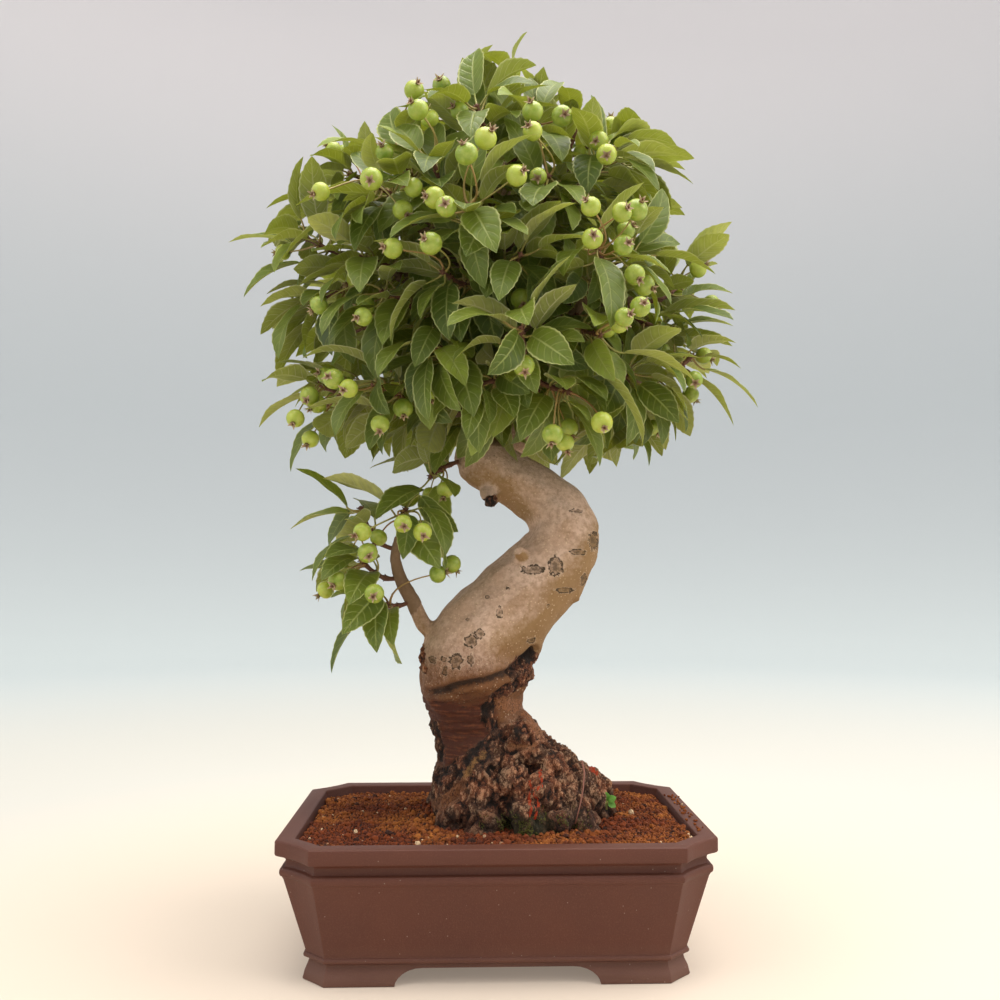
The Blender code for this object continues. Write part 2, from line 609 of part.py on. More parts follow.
def grow_fruit(bm, slot):
    fruit = slot["growth"]
    face = find_side(bm, slot["corners"])
    corners = [vert.co.copy() for vert in face.verts]
    stalk_end = fruit["middle"] - fruit["axis"] * fruit["radius"]
    for ring in tube_rings([(*fruit["knee"], 0.7), (*stalk_end, 1.1)], 4):
        ring = turned_to_fit(corners, ring)
        face = extrude_to(bm, face, ring)
        corners = ring
    bmesh.ops.subdivide_edges(bm, edges=list(face.edges), cuts=1)
    end = sum(corners, Vector()) / 4
    face = min((f for f in bm.faces if len(f.verts) == APPLE_SIDES),
               key=lambda f: (f.calc_center_median() - end).length)
    corners = [vert.co.copy() for vert in face.verts]
    for ring in fruit_rings(fruit):
        ring = turned_to_fit(corners, ring)
        face = extrude_to(bm, face, ring)
        corners = ring


def make_spray(spray, finish):
    bm = bmesh.new()
    extrude_rings(bm, spray["rings"])
    for slot in spray["slots"]:
        if slot.get("kind") == "leaf":
            grow_leaf(bm, slot)
    for slot in spray["slots"]:
        if slot.get("kind") == "fruit":
            grow_fruit(bm, slot)
    return make_object(spray["name"], bm, finish, 40)


def join_tubes(name, paths_sides_lumps, finish, spare=0.0):
    """One solid from tubes that are sunk into each other, spare wider than drawn."""
    tubes = bpy.data.collections.new(name + "_tubes")
    bpy.context.scene.collection.children.link(tubes)
    first = None
    for index, (path, sides, lump) in enumerate(paths_sides_lumps):
        bm = bmesh.new()
        extrude_rings(bm, tube_rings(path, sides, lump, spare))
        bmesh.ops.triangulate(bm, faces=bm.faces, quad_method="FIXED")
        piece = make_object(f"{name}_tube_{index}", bm, finish)
        if first is None:
            first = piece
            continue
        bpy.context.collection.objects.unlink(piece)
        tubes.objects.link(piece)
    union = first.modifiers.new("union", "BOOLEAN")
    union.operation = "UNION"
    union.operand_type = "COLLECTION"
    union.collection = tubes
    union.solver = "EXACT"
    bpy.context.view_layer.update()
    evaluated = first.evaluated_get(bpy.context.evaluated_depsgraph_get())
    mesh = bpy.data.meshes.new_from_object(evaluated)
    first.modifiers.clear()
    first.data = mesh
    first.name = name
    for piece in list(tubes.objects):
        bpy.data.objects.remove(piece)
    bpy.data.collections.remove(tubes)
    mesh.shade_smooth()
    mesh.set_sharp_from_angle(angle=math.radians(50))
    return first


def cut(target, cutter):
    """Takes the cutter out of the target for good."""
    cutter.hide_render = True
    cutter.display_type = "WIRE"
    boolean = target.modifiers.new("cut", "BOOLEAN")
    boolean.object = cutter
    bpy.context.view_layer.update()
    evaluated = target.evaluated_get(bpy.context.evaluated_depsgraph_get())
    mesh = bpy.data.meshes.new_from_object(evaluated)
    target.modifiers.clear()
    target.data = mesh
    bpy.data.objects.remove(cutter)


def keep_largest_body(piece):
    """Drops the loose scraps that a cut leaves behind."""
    bm = bmesh.new()
    bm.from_mesh(piece.data)
    bodies = []
    left = set(bm.verts)
    while left:
        body = set()
        edge_of_search = [left.pop()]
        while edge_of_search:
            vert = edge_of_search.pop()
            body.add(vert)
            near = {edge.other_vert(vert) for edge in vert.link_edges} & left
            left -= near
            edge_of_search += near
        bodies.append(body)
    bodies.sort(key=len)
    for body in bodies[:-1]:
        bmesh.ops.delete(bm, geom=list(body), context="VERTS")
    bm.to_mesh(piece.data)
    bm.free()


def octagon(inset, height):
    """The pot's outline at a height, drawn in by inset all round."""
    x, y = POT_LENGTH / 2 - inset, POT_DEPTH / 2 - inset
    corner = max(CORNER_CUT - inset * (2 - math.sqrt(2)), SMALLEST_CORNER)
    return [Vector(p) for p in ((x, -y + corner, height), (x, y - corner, height),
                                (x - corner, y, height), (-x + corner, y, height),
                                (-x, y - corner, height), (-x, -y + corner, height),
                                (-x + corner, -y, height), (x - corner, -y, height))]


def evenly_round(corners, count):
    """Points spread evenly over the sides of a closed outline."""
    points = []
    for k in range(count):
        turn = k / count * len(corners)
        corner = int(turn)
        points.append(corners[corner].lerp(corners[(corner + 1) % len(corners)], turn - corner))
    return points


def make_pot(finish):
    """Lip, groove, bead, tapered wall, bottom bead and feet, as (inset, height) up and over the rim."""
    top = POT_HEIGHT
    lip_and_bead = [(1.0, top), (0, top - 1.2), (0, top - 8.5), (5.5, top - 10.5), (6.8, top - 13),
                    (6.2, top - 17), (3.2, top - 18.5), (3.0, top - 21.5), (5.2, top - 24)]
    low_bead_and_foot = [(WALL_TAPER, 18.5), (WALL_TAPER - 1, 17.2), (WALL_TAPER - 1, 14.2),
                         (WALL_TAPER + 2.5, FLOOR_UNDER), (WALL_TAPER - 1.5, 0)]
    outside = lip_and_bead + low_bead_and_foot
    foot_inner = WALL_TAPER + FOOT_WIDTH
    inside = [(RIM_WIDTH - 1, top), (RIM_WIDTH, top - 1), *INNER_WALL]
    profile = [(foot_inner, FLOOR_UNDER), (foot_inner, 0)] + outside[::-1] + inside
    bm = bmesh.new()
    extrude_rings(bm, [octagon(inset, height) for inset, height in profile])
    pot = make_object("pot", bm, finish)
    for length, across_x in ((FOOT_GAP_FRONT, True), (FOOT_GAP_SIDE, False)):
        cut(pot, foot_tunnel(length, across_x))
    for side in (-1, 1):
        bm = bmesh.new()
        bmesh.ops.create_cone(bm, cap_ends=True, segments=16, radius1=HOLE_RADIUS, radius2=HOLE_RADIUS,
                              depth=30, matrix=Matrix.Translation((side * HOLE_OFFSET, 0, FLOOR_UNDER + 4)))
        cut(pot, make_object("hole", bm))
    pot.data.shade_smooth()
    pot.data.set_sharp_from_angle(angle=math.radians(25))
    return pot


def foot_tunnel(length, across_x):
    """The space between two feet, with rounded upper corners."""
    half = length / 2
    outline = [(-half, -5)]
    for angle in (0, 30, 60, 90):
        turn = math.radians(angle)
        outline.append((-half + FOOT_GAP_ROUND * (1 - math.cos(turn)), FOOT_GAP_HEIGHT * math.sin(turn)))
    outline += [(-x, z) for x, z in reversed(outline)]
    bm = bmesh.new()
    reach = POT_LENGTH / 2 + 20
    points = [Vector((x, -reach, z)) if across_x else Vector((reach, x, z)) for x, z in outline]
    face = bm.faces.new([bm.verts.new(point) for point in points])
    grown = bmesh.ops.extrude_face_region(bm, geom=[face])["geom"]
    shift = Vector((0, 2 * reach, 0)) if across_x else Vector((-2 * reach, 0, 0))
    bmesh.ops.translate(bm, vec=shift, verts=[g for g in grown if isinstance(g, bmesh.types.BMVert)])
    return make_object("foot_tunnel", bm)


def soil_height(x, y):
    """Mounded at the trunk, a little lower at the back, and grainy."""
    mound = SOIL_MOUND * math.exp(-((x - 12) / 75) ** 2 - (y / 48) ** 2)
    return SOIL_EDGE + mound - y * 0.02 + 1.4 * noise.noise(Vector((x, y, 0)) * 0.06)


def make_soil(finish):
    """Fills the pot to just under its rim, with the root base's own hole in it."""
    bm = bmesh.new()
    margin = GAP / math.cos(math.radians(20)) + 0.2     # clear of a wall that leans by 20 degrees
    (top_inset, top_height), (low_inset, low_height), (floor_inset, floor_height) = INNER_WALL
    levels = [(floor_inset + margin + 3, floor_height + GAP), (low_inset + margin, low_height + 2 * GAP),
              (top_inset + margin, top_height)]
    rings = [evenly_round(octagon(inset, height), SOIL_POINTS) for inset, height in levels]
    edge = evenly_round(octagon(top_inset + margin, 0), SOIL_POINTS)
    for share in SOIL_RINGS:
        ring = [point * share for point in edge]
        rings.append([Vector((point.x, point.y, soil_height(point.x, point.y))) for point in ring])
    cap = extrude_rings(bm, rings)
    top = bmesh.ops.poke(bm, faces=[cap])["verts"][0]
    top.co = Vector((0, 0, soil_height(0, 0)))
    soil = make_object("soil", bm, finish)
    near_soil = [(TRUNK_LOWER[:5], TRUNK_SIDES["lower"], TRUNK_LUMP)]
    near_soil += [(path, ROOT_SIDES, ROOT_LUMP) for path in ROOTS]
    root_hole = join_tubes("root_hole", near_soil, None, GAP * 2)
    cut(soil, root_hole)
    keep_largest_body(soil)
    for side in (-1, 1):
        bm = bmesh.new()
        size = SCREEN_SIZE / 2 + GAP
        bmesh.ops.create_cube(bm, size=2)
        bmesh.ops.scale(bm, vec=(size, size, SCREEN_THICK + 2 * GAP), verts=bm.verts)
        bmesh.ops.translate(bm, vec=(side * HOLE_OFFSET, 0, FLOOR_TOP), verts=bm.verts)
        cut(soil, make_object("screen_recess", bm))
    soil.data.shade_smooth()
    soil.data.set_sharp_from_angle(angle=math.radians(30))
    return soil


def make_screen(name, x, finish):
    """A square of plastic mesh that lies over a drain hole."""
    bm = bmesh.new()
    bmesh.ops.create_cube(bm, size=1)
    bmesh.ops.scale(bm, vec=(SCREEN_SIZE, SCREEN_SIZE, SCREEN_THICK), verts=bm.verts)
    bmesh.ops.translate(bm, vec=(x, 0, FLOOR_TOP + GAP + SCREEN_THICK / 2), verts=bm.verts)
    screen = make_object(name, bm, finish)
    for column in (-1, 0, 1):
        for row in (-1, 0, 1):
            bm = bmesh.new()
            bmesh.ops.create_cube(bm, size=1)
            bmesh.ops.scale(bm, vec=(SCREEN_HOLE, SCREEN_HOLE, 10), verts=bm.verts)
            middle = (x + column * SCREEN_PITCH, row * SCREEN_PITCH, FLOOR_TOP)
            bmesh.ops.translate(bm, vec=middle, verts=bm.verts)
            cut(screen, make_object("mesh_hole", bm))
    return screen


def main():
    for old in list(bpy.data.objects):
        bpy.data.objects.remove(old)
    fired_clay = material("unglazed_clay", (0.127, 0.045, 0.030), 0.62)
    akadama = material("akadama_soil", (0.254, 0.069, 0.016), 0.95)
    bark = material("crabapple_bark", (0.434, 0.323, 0.223), 0.8)
    foliage = material("crabapple_foliage", (0.107, 0.202, 0.043), 0.5)
    plastic = material("black_plastic_mesh", (0.02, 0.02, 0.02), 0.5)
    make_pot(fired_clay)
    tubes = [(TRUNK_LOWER, TRUNK_SIDES["lower"], TRUNK_LUMP), (TRUNK_UPPER, TRUNK_SIDES["upper"], 0.0)]
    tubes += [(path, ROOT_SIDES, ROOT_LUMP) for path in ROOTS]
    tubes += [(path, BRANCH_SIDES, 0.0) for path in BRANCHES.values()]
    join_tubes("trunk", tubes, bark)
    make_soil(akadama)
    make_screen("drain_screen_left", -HOLE_OFFSET, plastic)
    make_screen("drain_screen_right", HOLE_OFFSET, plastic)
    for spray in lay_out_sprays():
        make_spray(spray, foliage)


main()
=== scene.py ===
# %% [markdown]
# # A hall crabapple bonsai in its pot
#
# The tree is about 57 cm tall above its soil, with a trunk bent like an S, small green
# crab apples on long stalks, and some twelve hundred leaves. It stands in a brown unglazed
# pot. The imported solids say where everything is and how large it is. This script keeps
# to them and makes the surfaces: bark, blades, apples, grains of soil and fired clay.
#
# Shapes are drawn in millimetres and handed over in metres.

# %% Load the frame
import math
import random
from itertools import product

import bmesh
import bpy
from mathutils import Euler, Matrix, Vector, noise
from mathutils.bvhtree import BVHTree


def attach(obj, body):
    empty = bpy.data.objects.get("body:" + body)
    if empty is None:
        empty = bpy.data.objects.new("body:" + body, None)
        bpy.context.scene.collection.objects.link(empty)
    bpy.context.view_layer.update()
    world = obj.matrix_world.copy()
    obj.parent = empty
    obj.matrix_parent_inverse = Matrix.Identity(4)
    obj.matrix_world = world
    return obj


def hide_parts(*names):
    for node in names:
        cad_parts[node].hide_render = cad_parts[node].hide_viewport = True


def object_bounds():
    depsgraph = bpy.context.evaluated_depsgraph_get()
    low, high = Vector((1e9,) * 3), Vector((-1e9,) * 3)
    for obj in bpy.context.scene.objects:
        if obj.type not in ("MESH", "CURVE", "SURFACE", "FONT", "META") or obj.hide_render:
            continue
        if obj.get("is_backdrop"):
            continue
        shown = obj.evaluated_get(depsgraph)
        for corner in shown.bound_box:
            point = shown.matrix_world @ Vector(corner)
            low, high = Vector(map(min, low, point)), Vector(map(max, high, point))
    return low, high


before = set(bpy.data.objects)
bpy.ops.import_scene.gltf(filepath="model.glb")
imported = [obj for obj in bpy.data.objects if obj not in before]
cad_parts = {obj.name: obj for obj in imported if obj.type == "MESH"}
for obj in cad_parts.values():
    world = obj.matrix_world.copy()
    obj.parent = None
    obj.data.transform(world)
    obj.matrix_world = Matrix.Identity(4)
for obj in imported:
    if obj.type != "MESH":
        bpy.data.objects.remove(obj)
cad_low, cad_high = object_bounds()
MM = 0.001
print("solids:", len(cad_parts), "height in mm:", round(cad_high.z / MM))

# %% [markdown]
# ## Helpers for materials
#
# Colours are picked as the hex values of a screen, which are not linear, so one function
# turns them to the linear values that a shader adds and multiplies. One more function
# adds any node with its settings and its links. In a MapRange, inputs 1 and 2 are the
# range that is read, and 3 and 4 what comes out at its ends, 0 and 1 if they aren't
# named. Every pattern reads the object's own coordinates in millimetres, so a noise
# scale is one over the size of its blobs in mm.

# %% Colours and nodes
FACTOR, A, B = 0, 6, 7        # a Mix node's sockets for colours


def linear(hex_value):
    """A screen colour such as 'b89a80' as linear red, green, blue and 1."""
    parts = [int(hex_value[i:i + 2], 16) / 255 for i in (0, 2, 4)]
    return [p / 12.92 if p <= 0.04045 else ((p + 0.055) / 1.055) ** 2.4 for p in parts] + [1]


def add_node(tree, kind, inputs=None, output=None, **settings):
    """Adds a node and returns its output; an input is a value, a hex colour or another output."""
    node = tree.nodes.new("ShaderNode" + kind)
    for name, value in settings.items():
        setattr(node, name, value)
    for socket, value in (inputs or {}).items():
        if isinstance(value, bpy.types.NodeSocket):
            tree.links.new(value, node.inputs[socket])
        else:
            node.inputs[socket].default_value = linear(value) if isinstance(value, str) else value
    return node.outputs[output] if output else next(out for out in node.outputs if out.enabled)


def start_material(name, **values):
    """A material, its tree, and the object's coordinates in millimetres."""
    finish = bpy.data.materials.new(name)
    finish.use_nodes = True
    tree = finish.node_tree
    for socket, value in values.items():
        tree.nodes["Principled BSDF"].inputs[socket.replace("_", " ")].default_value = value
    place = add_node(tree, "TexCoord", output="Object")
    return finish, tree, add_node(tree, "VectorMath", {0: place, "Scale": 1 / MM}, operation="SCALE")


def dress(tree, colour, height=None, strength=0.5, depth=0.0006):
    """Gives the shader its colour and, where there is a height, relief of that depth in metres."""
    shader = tree.nodes["Principled BSDF"]
    tree.links.new(colour, shader.inputs["Base Color"])
    if height:
        relief = add_node(tree, "Bump", {"Height": height, "Strength": strength, "Distance": depth})
        tree.links.new(relief, shader.inputs["Normal"])

# %% [markdown]
# ## Helpers for pieces
#
# A shape is built in a bmesh. When it is done, its faces are turned outwards, it is
# scaled to metres and becomes a mesh object at the origin, which rides on the frame's
# only body. Edges that fold more than the given angle stay sharp in the shading, which
# keeps the thin rim of a leaf crisp and a round stalk smooth.

# %% Hand a piece over
def mesh_of(name, bm):
    """The mesh of a bmesh, which is done with."""
    mesh = bpy.data.meshes.new(name)
    bm.to_mesh(mesh)
    bm.free()
    return mesh


def put_in_scene(name, data):
    """An object that shows a mesh, a lamp or a camera."""
    thing = bpy.data.objects.new(name, data)
    bpy.context.scene.collection.objects.link(thing)
    return thing


def hand_over(name, bm, finishes, nodes=(), sharp=180):
    """Turns a bmesh in millimetres into a piece that rides on the root body."""
    bmesh.ops.recalc_face_normals(bm, faces=bm.faces)
    bmesh.ops.scale(bm, vec=(MM, MM, MM), verts=bm.verts)
    mesh = mesh_of(name, bm)
    mesh.shade_smooth()
    if sharp < 180:
        mesh.set_sharp_from_angle(angle=math.radians(sharp))
    for finish in finishes:
        mesh.materials.append(finish)
    piece = put_in_scene(name, mesh)
    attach(piece, "root")
    if nodes:
        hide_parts(*nodes)


def smooth_step(low, high, value):
    """0 below low, 1 above high, and a soft rise between; low may be the larger one."""
    share = min(max((value - low) / (high - low), 0), 1)
    return share * share * (3 - 2 * share)


def join(bm, part):
    """Moves all of one bmesh into another."""
    helper = mesh_of("helper", part)
    bm.from_mesh(helper)
    bpy.data.meshes.remove(helper)


def stand(point, direction):
    """The matrix that sets a shape on a point, its Z turned to a direction."""
    return Matrix.Translation(point) @ direction.to_track_quat("Z", "Y").to_matrix().to_4x4()


def give_finish(verts, finish):
    """Sets the material slot of every face at some corners."""
    for face in {face for vert in verts for face in vert.link_faces}:
        face.material_index = finish


def jitter(draw, amount):
    return Vector([draw.uniform(-amount, amount) for _ in range(3)])

# %% [markdown]
# ## Camera
#
# The photograph was taken from about 72 cm in front of the pot's middle and 25 cm above
# its foot, tilted up by four degrees, with a lens of about 36 mm on a full frame. Those
# values were fitted to the pot's corners, and the camera comes first so that every piece
# can be judged through it.

# %% Place the camera
CAMERA_PLACE = (-0.0187, -0.7238, 0.2534)
CAMERA_TILT = math.radians(4.251)
CAMERA_TURN = math.radians(-1.776)

lens = bpy.data.cameras.new("camera")
lens.lens = 36.21
lens.sensor_width = 36
camera = put_in_scene("camera", lens)
camera.location = CAMERA_PLACE
camera.rotation_euler = Euler((math.pi / 2 + CAMERA_TILT, 0, CAMERA_TURN))
bpy.context.scene.camera = camera
print("camera height in mm:", round(CAMERA_PLACE[2] / MM))

# %% [markdown]
# ## The pot
#
# It is unglazed stoneware, pressed from brown clay and fired hard. Its outline is an
# octagon whose cut corners are a little hollow, and its side steps in below the lip,
# swells into a bead and tapers down to four feet. One ring of points is drawn as the
# outline, and the profile is followed by extruding the last face from ring to ring. The
# round parts of the profile are arcs, because a hard edge would look like sheet metal.

# %% The outline and the profile of the pot
POT_LENGTH, POT_DEPTH, POT_HEIGHT = 280, 200, 87.5
CORNER_CUT = 25
WALL_TAPER = 19
RIM_WIDTH = 12
FLOOR_UNDER, FLOOR_TOP = 12, 20
FOOT_WIDTH = 15
FOOT_GAP_FRONT, FOOT_GAP_SIDE = 128, 74
HOLE_RADIUS, HOLE_OFFSET = 9, 62
CORNER_HOLLOW = 1.6           # how far a cut corner is pressed in at its middle


def corner_points(inset, height, hollow):
    """The outline at a height, drawn in by inset, with each cut corner slightly hollow."""
    x, y = POT_LENGTH / 2 - inset, POT_DEPTH / 2 - inset
    cut = max(CORNER_CUT - inset * (2 - math.sqrt(2)), 6)
    points = []
    for sx, sy in ((1, 1), (-1, 1), (-1, -1), (1, -1)):
        ends = [Vector((sx * x, sy * (y - cut), height)), Vector((sx * (x - cut), sy * y, height))]
        if sx != sy:
            ends.reverse()
        inward = Vector((-sx, -sy, 0)).normalized()
        for share in (0, 0.06, 0.16, 0.34, 0.5, 0.66, 0.84, 0.94, 1):
            depth = hollow * smooth_step(0, 0.3, min(share, 1 - share))
            points.append(ends[0].lerp(ends[1], share) + inward * depth)
    return points


def arc(centre, radii, start, stop, steps):
    """Profile points (inset, height) on a quarter or half ellipse, angles in degrees."""
    return [(centre[0] + radii[0] * math.cos(math.radians(start + (stop - start) * i / steps)),
             centre[1] + radii[1] * math.sin(math.radians(start + (stop - start) * i / steps)))
            for i in range(steps + 1)]


def pot_profile():
    """From under the floor, down a foot's inside, up the outside, and over the lip."""
    top, inner = POT_HEIGHT, WALL_TAPER + FOOT_WIDTH
    foot = WALL_TAPER - 1.5
    points = [(inner, FLOOR_UNDER), (inner, 0.6), (inner - 0.6, 0)]
    points += arc((foot + 1.2, 1.2), (1.2, 1.2), 270, 180, 3)
    points += [(foot + 1.2, 6), (foot + 3.2, 10), (foot + 3.8, 12.4)]
    points += arc((WALL_TAPER, 15.4), (1.3, 1.7), 270, 90, 5)
    points += [(WALL_TAPER - 0.2, 18.6), (5.4, top - 24.6)]
    points += arc((4.4, top - 20), (1.6, 2.8), 270, 90, 6)
    points += [(6, top - 16.8), (6.6, top - 15), (6.6, top - 12.6), (5.6, top - 11)]
    points += arc((1.6, top - 8.4), (1.6, 1.6), 270, 180, 3)
    points += arc((1.4, top - 1.4), (1.4, 1.4), 180, 90, 3)
    points += arc((RIM_WIDTH - 1.2, top - 1.2), (1.2, 1.2), 90, 0, 3)
    points += [(RIM_WIDTH + 2, top - 12), (28, FLOOR_TOP + 2), (31, FLOOR_TOP)]
    return points

# %% [markdown]
# Nearly everything here is a closed skin over a row of rings: the pot's outline at each
# height, a branch's section at each bend, a stalk. It starts from Blender's own circle
# with a face in it. That face is extruded from ring to ring, and the last job is to
# close the first end again, because a discrete extrusion lifts the face off it.

# %% A skin over rings, and a cut with hidden helpers
def extrude_to(bm, face, points):
    """Extrudes one face and sets its corners on the given points."""
    new_face = bmesh.ops.extrude_discrete_faces(bm, faces=[face])["faces"][0]
    for vert, point in zip(new_face.verts, points):
        vert.co = point
    return new_face


def skin(bm, rings):
    """A closed tube through rings of equal point counts; returns its corners, ring by ring."""
    circle = bmesh.ops.create_circle(bm, cap_ends=True, segments=len(rings[0]), radius=1)["verts"]
    face = circle[0].link_faces[0]
    start = list(face.verts)
    for vert, point in zip(start, rings[0]):
        vert.co = point
    corners = [start]
    for ring in rings[1:]:
        face = extrude_to(bm, face, ring)
        corners.append(list(face.verts))
    bm.faces.new(list(reversed(start)))
    return corners


def helper_object(name, bm):
    """A plain object that lives only while a modifier needs it."""
    bmesh.ops.recalc_face_normals(bm, faces=bm.faces)
    return put_in_scene(name, mesh_of(name, bm))


def evaluated_bmesh(helper):
    """The helper's mesh with its modifiers, as a bmesh; the helper is then removed."""
    bpy.context.view_layer.update()
    evaluated = helper.evaluated_get(bpy.context.evaluated_depsgraph_get())
    bm = bmesh.new()
    bm.from_mesh(evaluated.to_mesh())
    evaluated.to_mesh_clear()
    bpy.data.objects.remove(helper)
    return bm


def take_away(bm, cutters):
    """The bmesh with every cutter's space taken out of it."""
    target = helper_object("target", bm)
    tools = [helper_object("cutter", cutter) for cutter in cutters]
    for tool in tools:
        target.modifiers.new("cut", "BOOLEAN").object = tool
    result = evaluated_bmesh(target)
    for tool in tools:
        bpy.data.objects.remove(tool)
    return result

# %% Cut the feet apart, drill the drain holes and soften the edges
EDGE_ROUND = 0.9              # how far a pressed clay edge is rounded off


def foot_tunnel(length, across_x):
    """The space between two feet, with rounded upper corners."""
    high, round_off, reach = FLOOR_UNDER - 1.8, 17, 160
    half = length / 2
    outline = [(-half, -5)]
    for step in range(7):
        turn = math.radians(step * 15)
        outline.append((-half + round_off * (1 - math.cos(turn)), high * math.sin(turn)))
    outline += [(-x, z) for x, z in reversed(outline)]
    near = [Vector((x, -reach, z)) if across_x else Vector((-reach, x, z)) for x, z in outline]
    shift = Vector((0, 2 * reach, 0)) if across_x else Vector((2 * reach, 0, 0))
    bm = bmesh.new()
    skin(bm, [near, [point + shift for point in near]])
    return bm


def drain_drill(x):
    bm = bmesh.new()
    bmesh.ops.create_cone(bm, cap_ends=True, segments=40, radius1=HOLE_RADIUS, radius2=HOLE_RADIUS,
                          depth=30, matrix=Matrix.Translation((x, 0, FLOOR_UNDER + 4)))
    return bm


pot_mesh = bmesh.new()
pot_rings = []
for inset, height in pot_profile():
    hollow = CORNER_HOLLOW if inset < 8 and height > POT_HEIGHT - 27 else 0.2
    pot_rings.append(corner_points(inset, height, hollow))
skin(pot_mesh, pot_rings)
pot_mesh = take_away(pot_mesh, [foot_tunnel(FOOT_GAP_FRONT, True), foot_tunnel(FOOT_GAP_SIDE, False),
                                drain_drill(-HOLE_OFFSET), drain_drill(HOLE_OFFSET)])
bmesh.ops.remove_doubles(pot_mesh, verts=pot_mesh.verts, dist=0.01)
folds = [edge for edge in pot_mesh.edges if edge.is_manifold and edge.calc_face_angle() > math.radians(32)]
bmesh.ops.bevel(pot_mesh, geom=folds, offset=EDGE_ROUND, offset_type="OFFSET", segments=2, profile=0.5,
                affect="EDGES", material=-1, clamp_overlap=True)
print("pot faces:", len(pot_mesh.faces))

# %% [markdown]
# ### Fired clay
#
# Stoneware fired without a glaze is brown from its iron, matt, and slightly sandy. Where
# water splashes it, at the feet, it has a greyish bloom, and dust and lime lie on
# what faces up. The grain is 0.4 mm in life and is drawn at 0.9 mm, so that it shows.

# %% Material of the pot
CLAY_GRAIN = 0.9
CLAY_CLOUD = 45
SPECK_PITCH = 7

fired_clay, tree, mm = start_material("unglazed_stoneware", Roughness=0.6)
cloud = add_node(tree, "TexNoise", {"Vector": mm, "Scale": 1 / CLAY_CLOUD, "Detail": 3})
grain = add_node(tree, "TexNoise", {"Vector": mm, "Scale": 1 / CLAY_GRAIN, "Detail": 2})
specks = add_node(tree, "TexVoronoi", {"Vector": mm, "Scale": 1 / SPECK_PITCH})
height = add_node(tree, "SeparateXYZ", {0: mm}, "Z")
upward = add_node(tree, "SeparateXYZ", {0: add_node(tree, "NewGeometry", output="Normal")}, "Z")
bloom = add_node(tree, "MapRange", {0: upward, 1: 0.35, 2: 0.95, 4: 0.2})
splashed = add_node(tree, "MapRange", {0: height, 1: 26, 2: 6, 4: 0.5})
film = add_node(tree, "Math", {0: bloom, 1: splashed}, operation="MAXIMUM")
patchy = add_node(tree, "Math", {0: film, 1: cloud, 2: 0.35}, operation="MULTIPLY_ADD")
film = add_node(tree, "Math", {0: film, 1: patchy}, operation="MULTIPLY")
sandy = add_node(tree, "MapRange", {0: grain, 1: 0.5, 2: 0.8, 4: 0.45})
specked = add_node(tree, "MapRange", {0: specks, 1: 0.035, 2: 0.06, 3: 0.5, 4: 0})
body = "4f2518"
for tone, share in (("5f301e", cloud), ("6d4330", sandy), ("7a5f52", film), ("b09a8a", specked)):
    body = add_node(tree, "Mix", {FACTOR: share, A: body, B: tone}, data_type="RGBA")
gloss = add_node(tree, "MapRange", {0: film, 2: 0.8, 3: 0.62, 4: 0.42})
tree.links.new(gloss, tree.nodes["Principled BSDF"].inputs["Roughness"])
dress(tree, body, grain, 0.25, 0.0004)
hand_over("pot_fired", pot_mesh, [fired_clay], ["pot"], 30)

# %% [markdown]
# ### The drain screens
#
# Two squares of black plastic mesh lie over the drain holes, under the soil. Their solids
# already have the right shape, so they only get a material: moulded polyethylene, dull
# black and slightly waxy.

# %% Material of the drain screens
screen_plastic, tree, mm = start_material("moulded_polyethylene", Roughness=0.45)
waxy = add_node(tree, "TexNoise", {"Vector": mm, "Scale": 1 / 3, "Detail": 2})
dress(tree, add_node(tree, "Mix", {FACTOR: waxy, A: "17181a", B: "26282a"}, data_type="RGBA"))
for side in ("left", "right"):
    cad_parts[f"drain_screen_{side}"].material_slots[0].material = screen_plastic
print("pot and screens have their finish")

# %% [markdown]
# ## The tree's own measures
#
# The trunk, the roots and the branches are centre lines with a radius at each point. A
# spray is a twig with its leaves and apples. These tables and the rules after them are
# the ones that the solids were made with, so every leaf here grows where its solid is.

# %% Sizes of leaves, stalks and apples
GAP = 0.3
SEED = 20
LEAF_LENGTH = (38, 54)
LEAF_WIDTH = (0.40, 0.48)     # share of the length
LEAF_THICK = 1.3
LEAF_RISE = 0.05              # a leaf leaves its stalk a little upwards, then its curl bends it down
LEAF_FACES_OUT = 0.15         # how far its upper side turns from the sky to the outside of the crown
PETIOLE = (9, 16)
FRUIT_RADIUS = (5.8, 7)
PEDICEL = (17, 27)
TWIG_RADIUS = (1.6, 1.1)
CLUSTER_HEIGHT = 2.4          # stretch of a twig that leaves and stalks leave from
SHORT_TWIG = 62               # below this length a twig bears two clusters, not three
CANOPY_MIDDLE = Vector((0, 0, 455))

# How often a twig, an apple or a leaf is drawn until it is clear; later leaves are smaller
TWIG_TRIES, FRUIT_TRIES = 40, 40
LEAF_TRIES = (140, 90)        # in all, and at full size
AIM_TRIES = 12                # for each of the four places that face a set tip best

# Half width of the crown at each height, and its depth as a share of that
CROWN = ((322, 70), (345, 140), (380, 172), (410, 180), (450, 176), (490, 184),
         (520, 164), (550, 142), (575, 116), (600, 72), (630, 38), (652, 24))
CROWN_DEPTH = 0.80

# Sides of the root tubes, and how far bark and roots swell from round, as a share of the radius
ROOT_SIDES = 7
ROOT_LUMP = 0.2
TRUNK_LUMP = 0.12

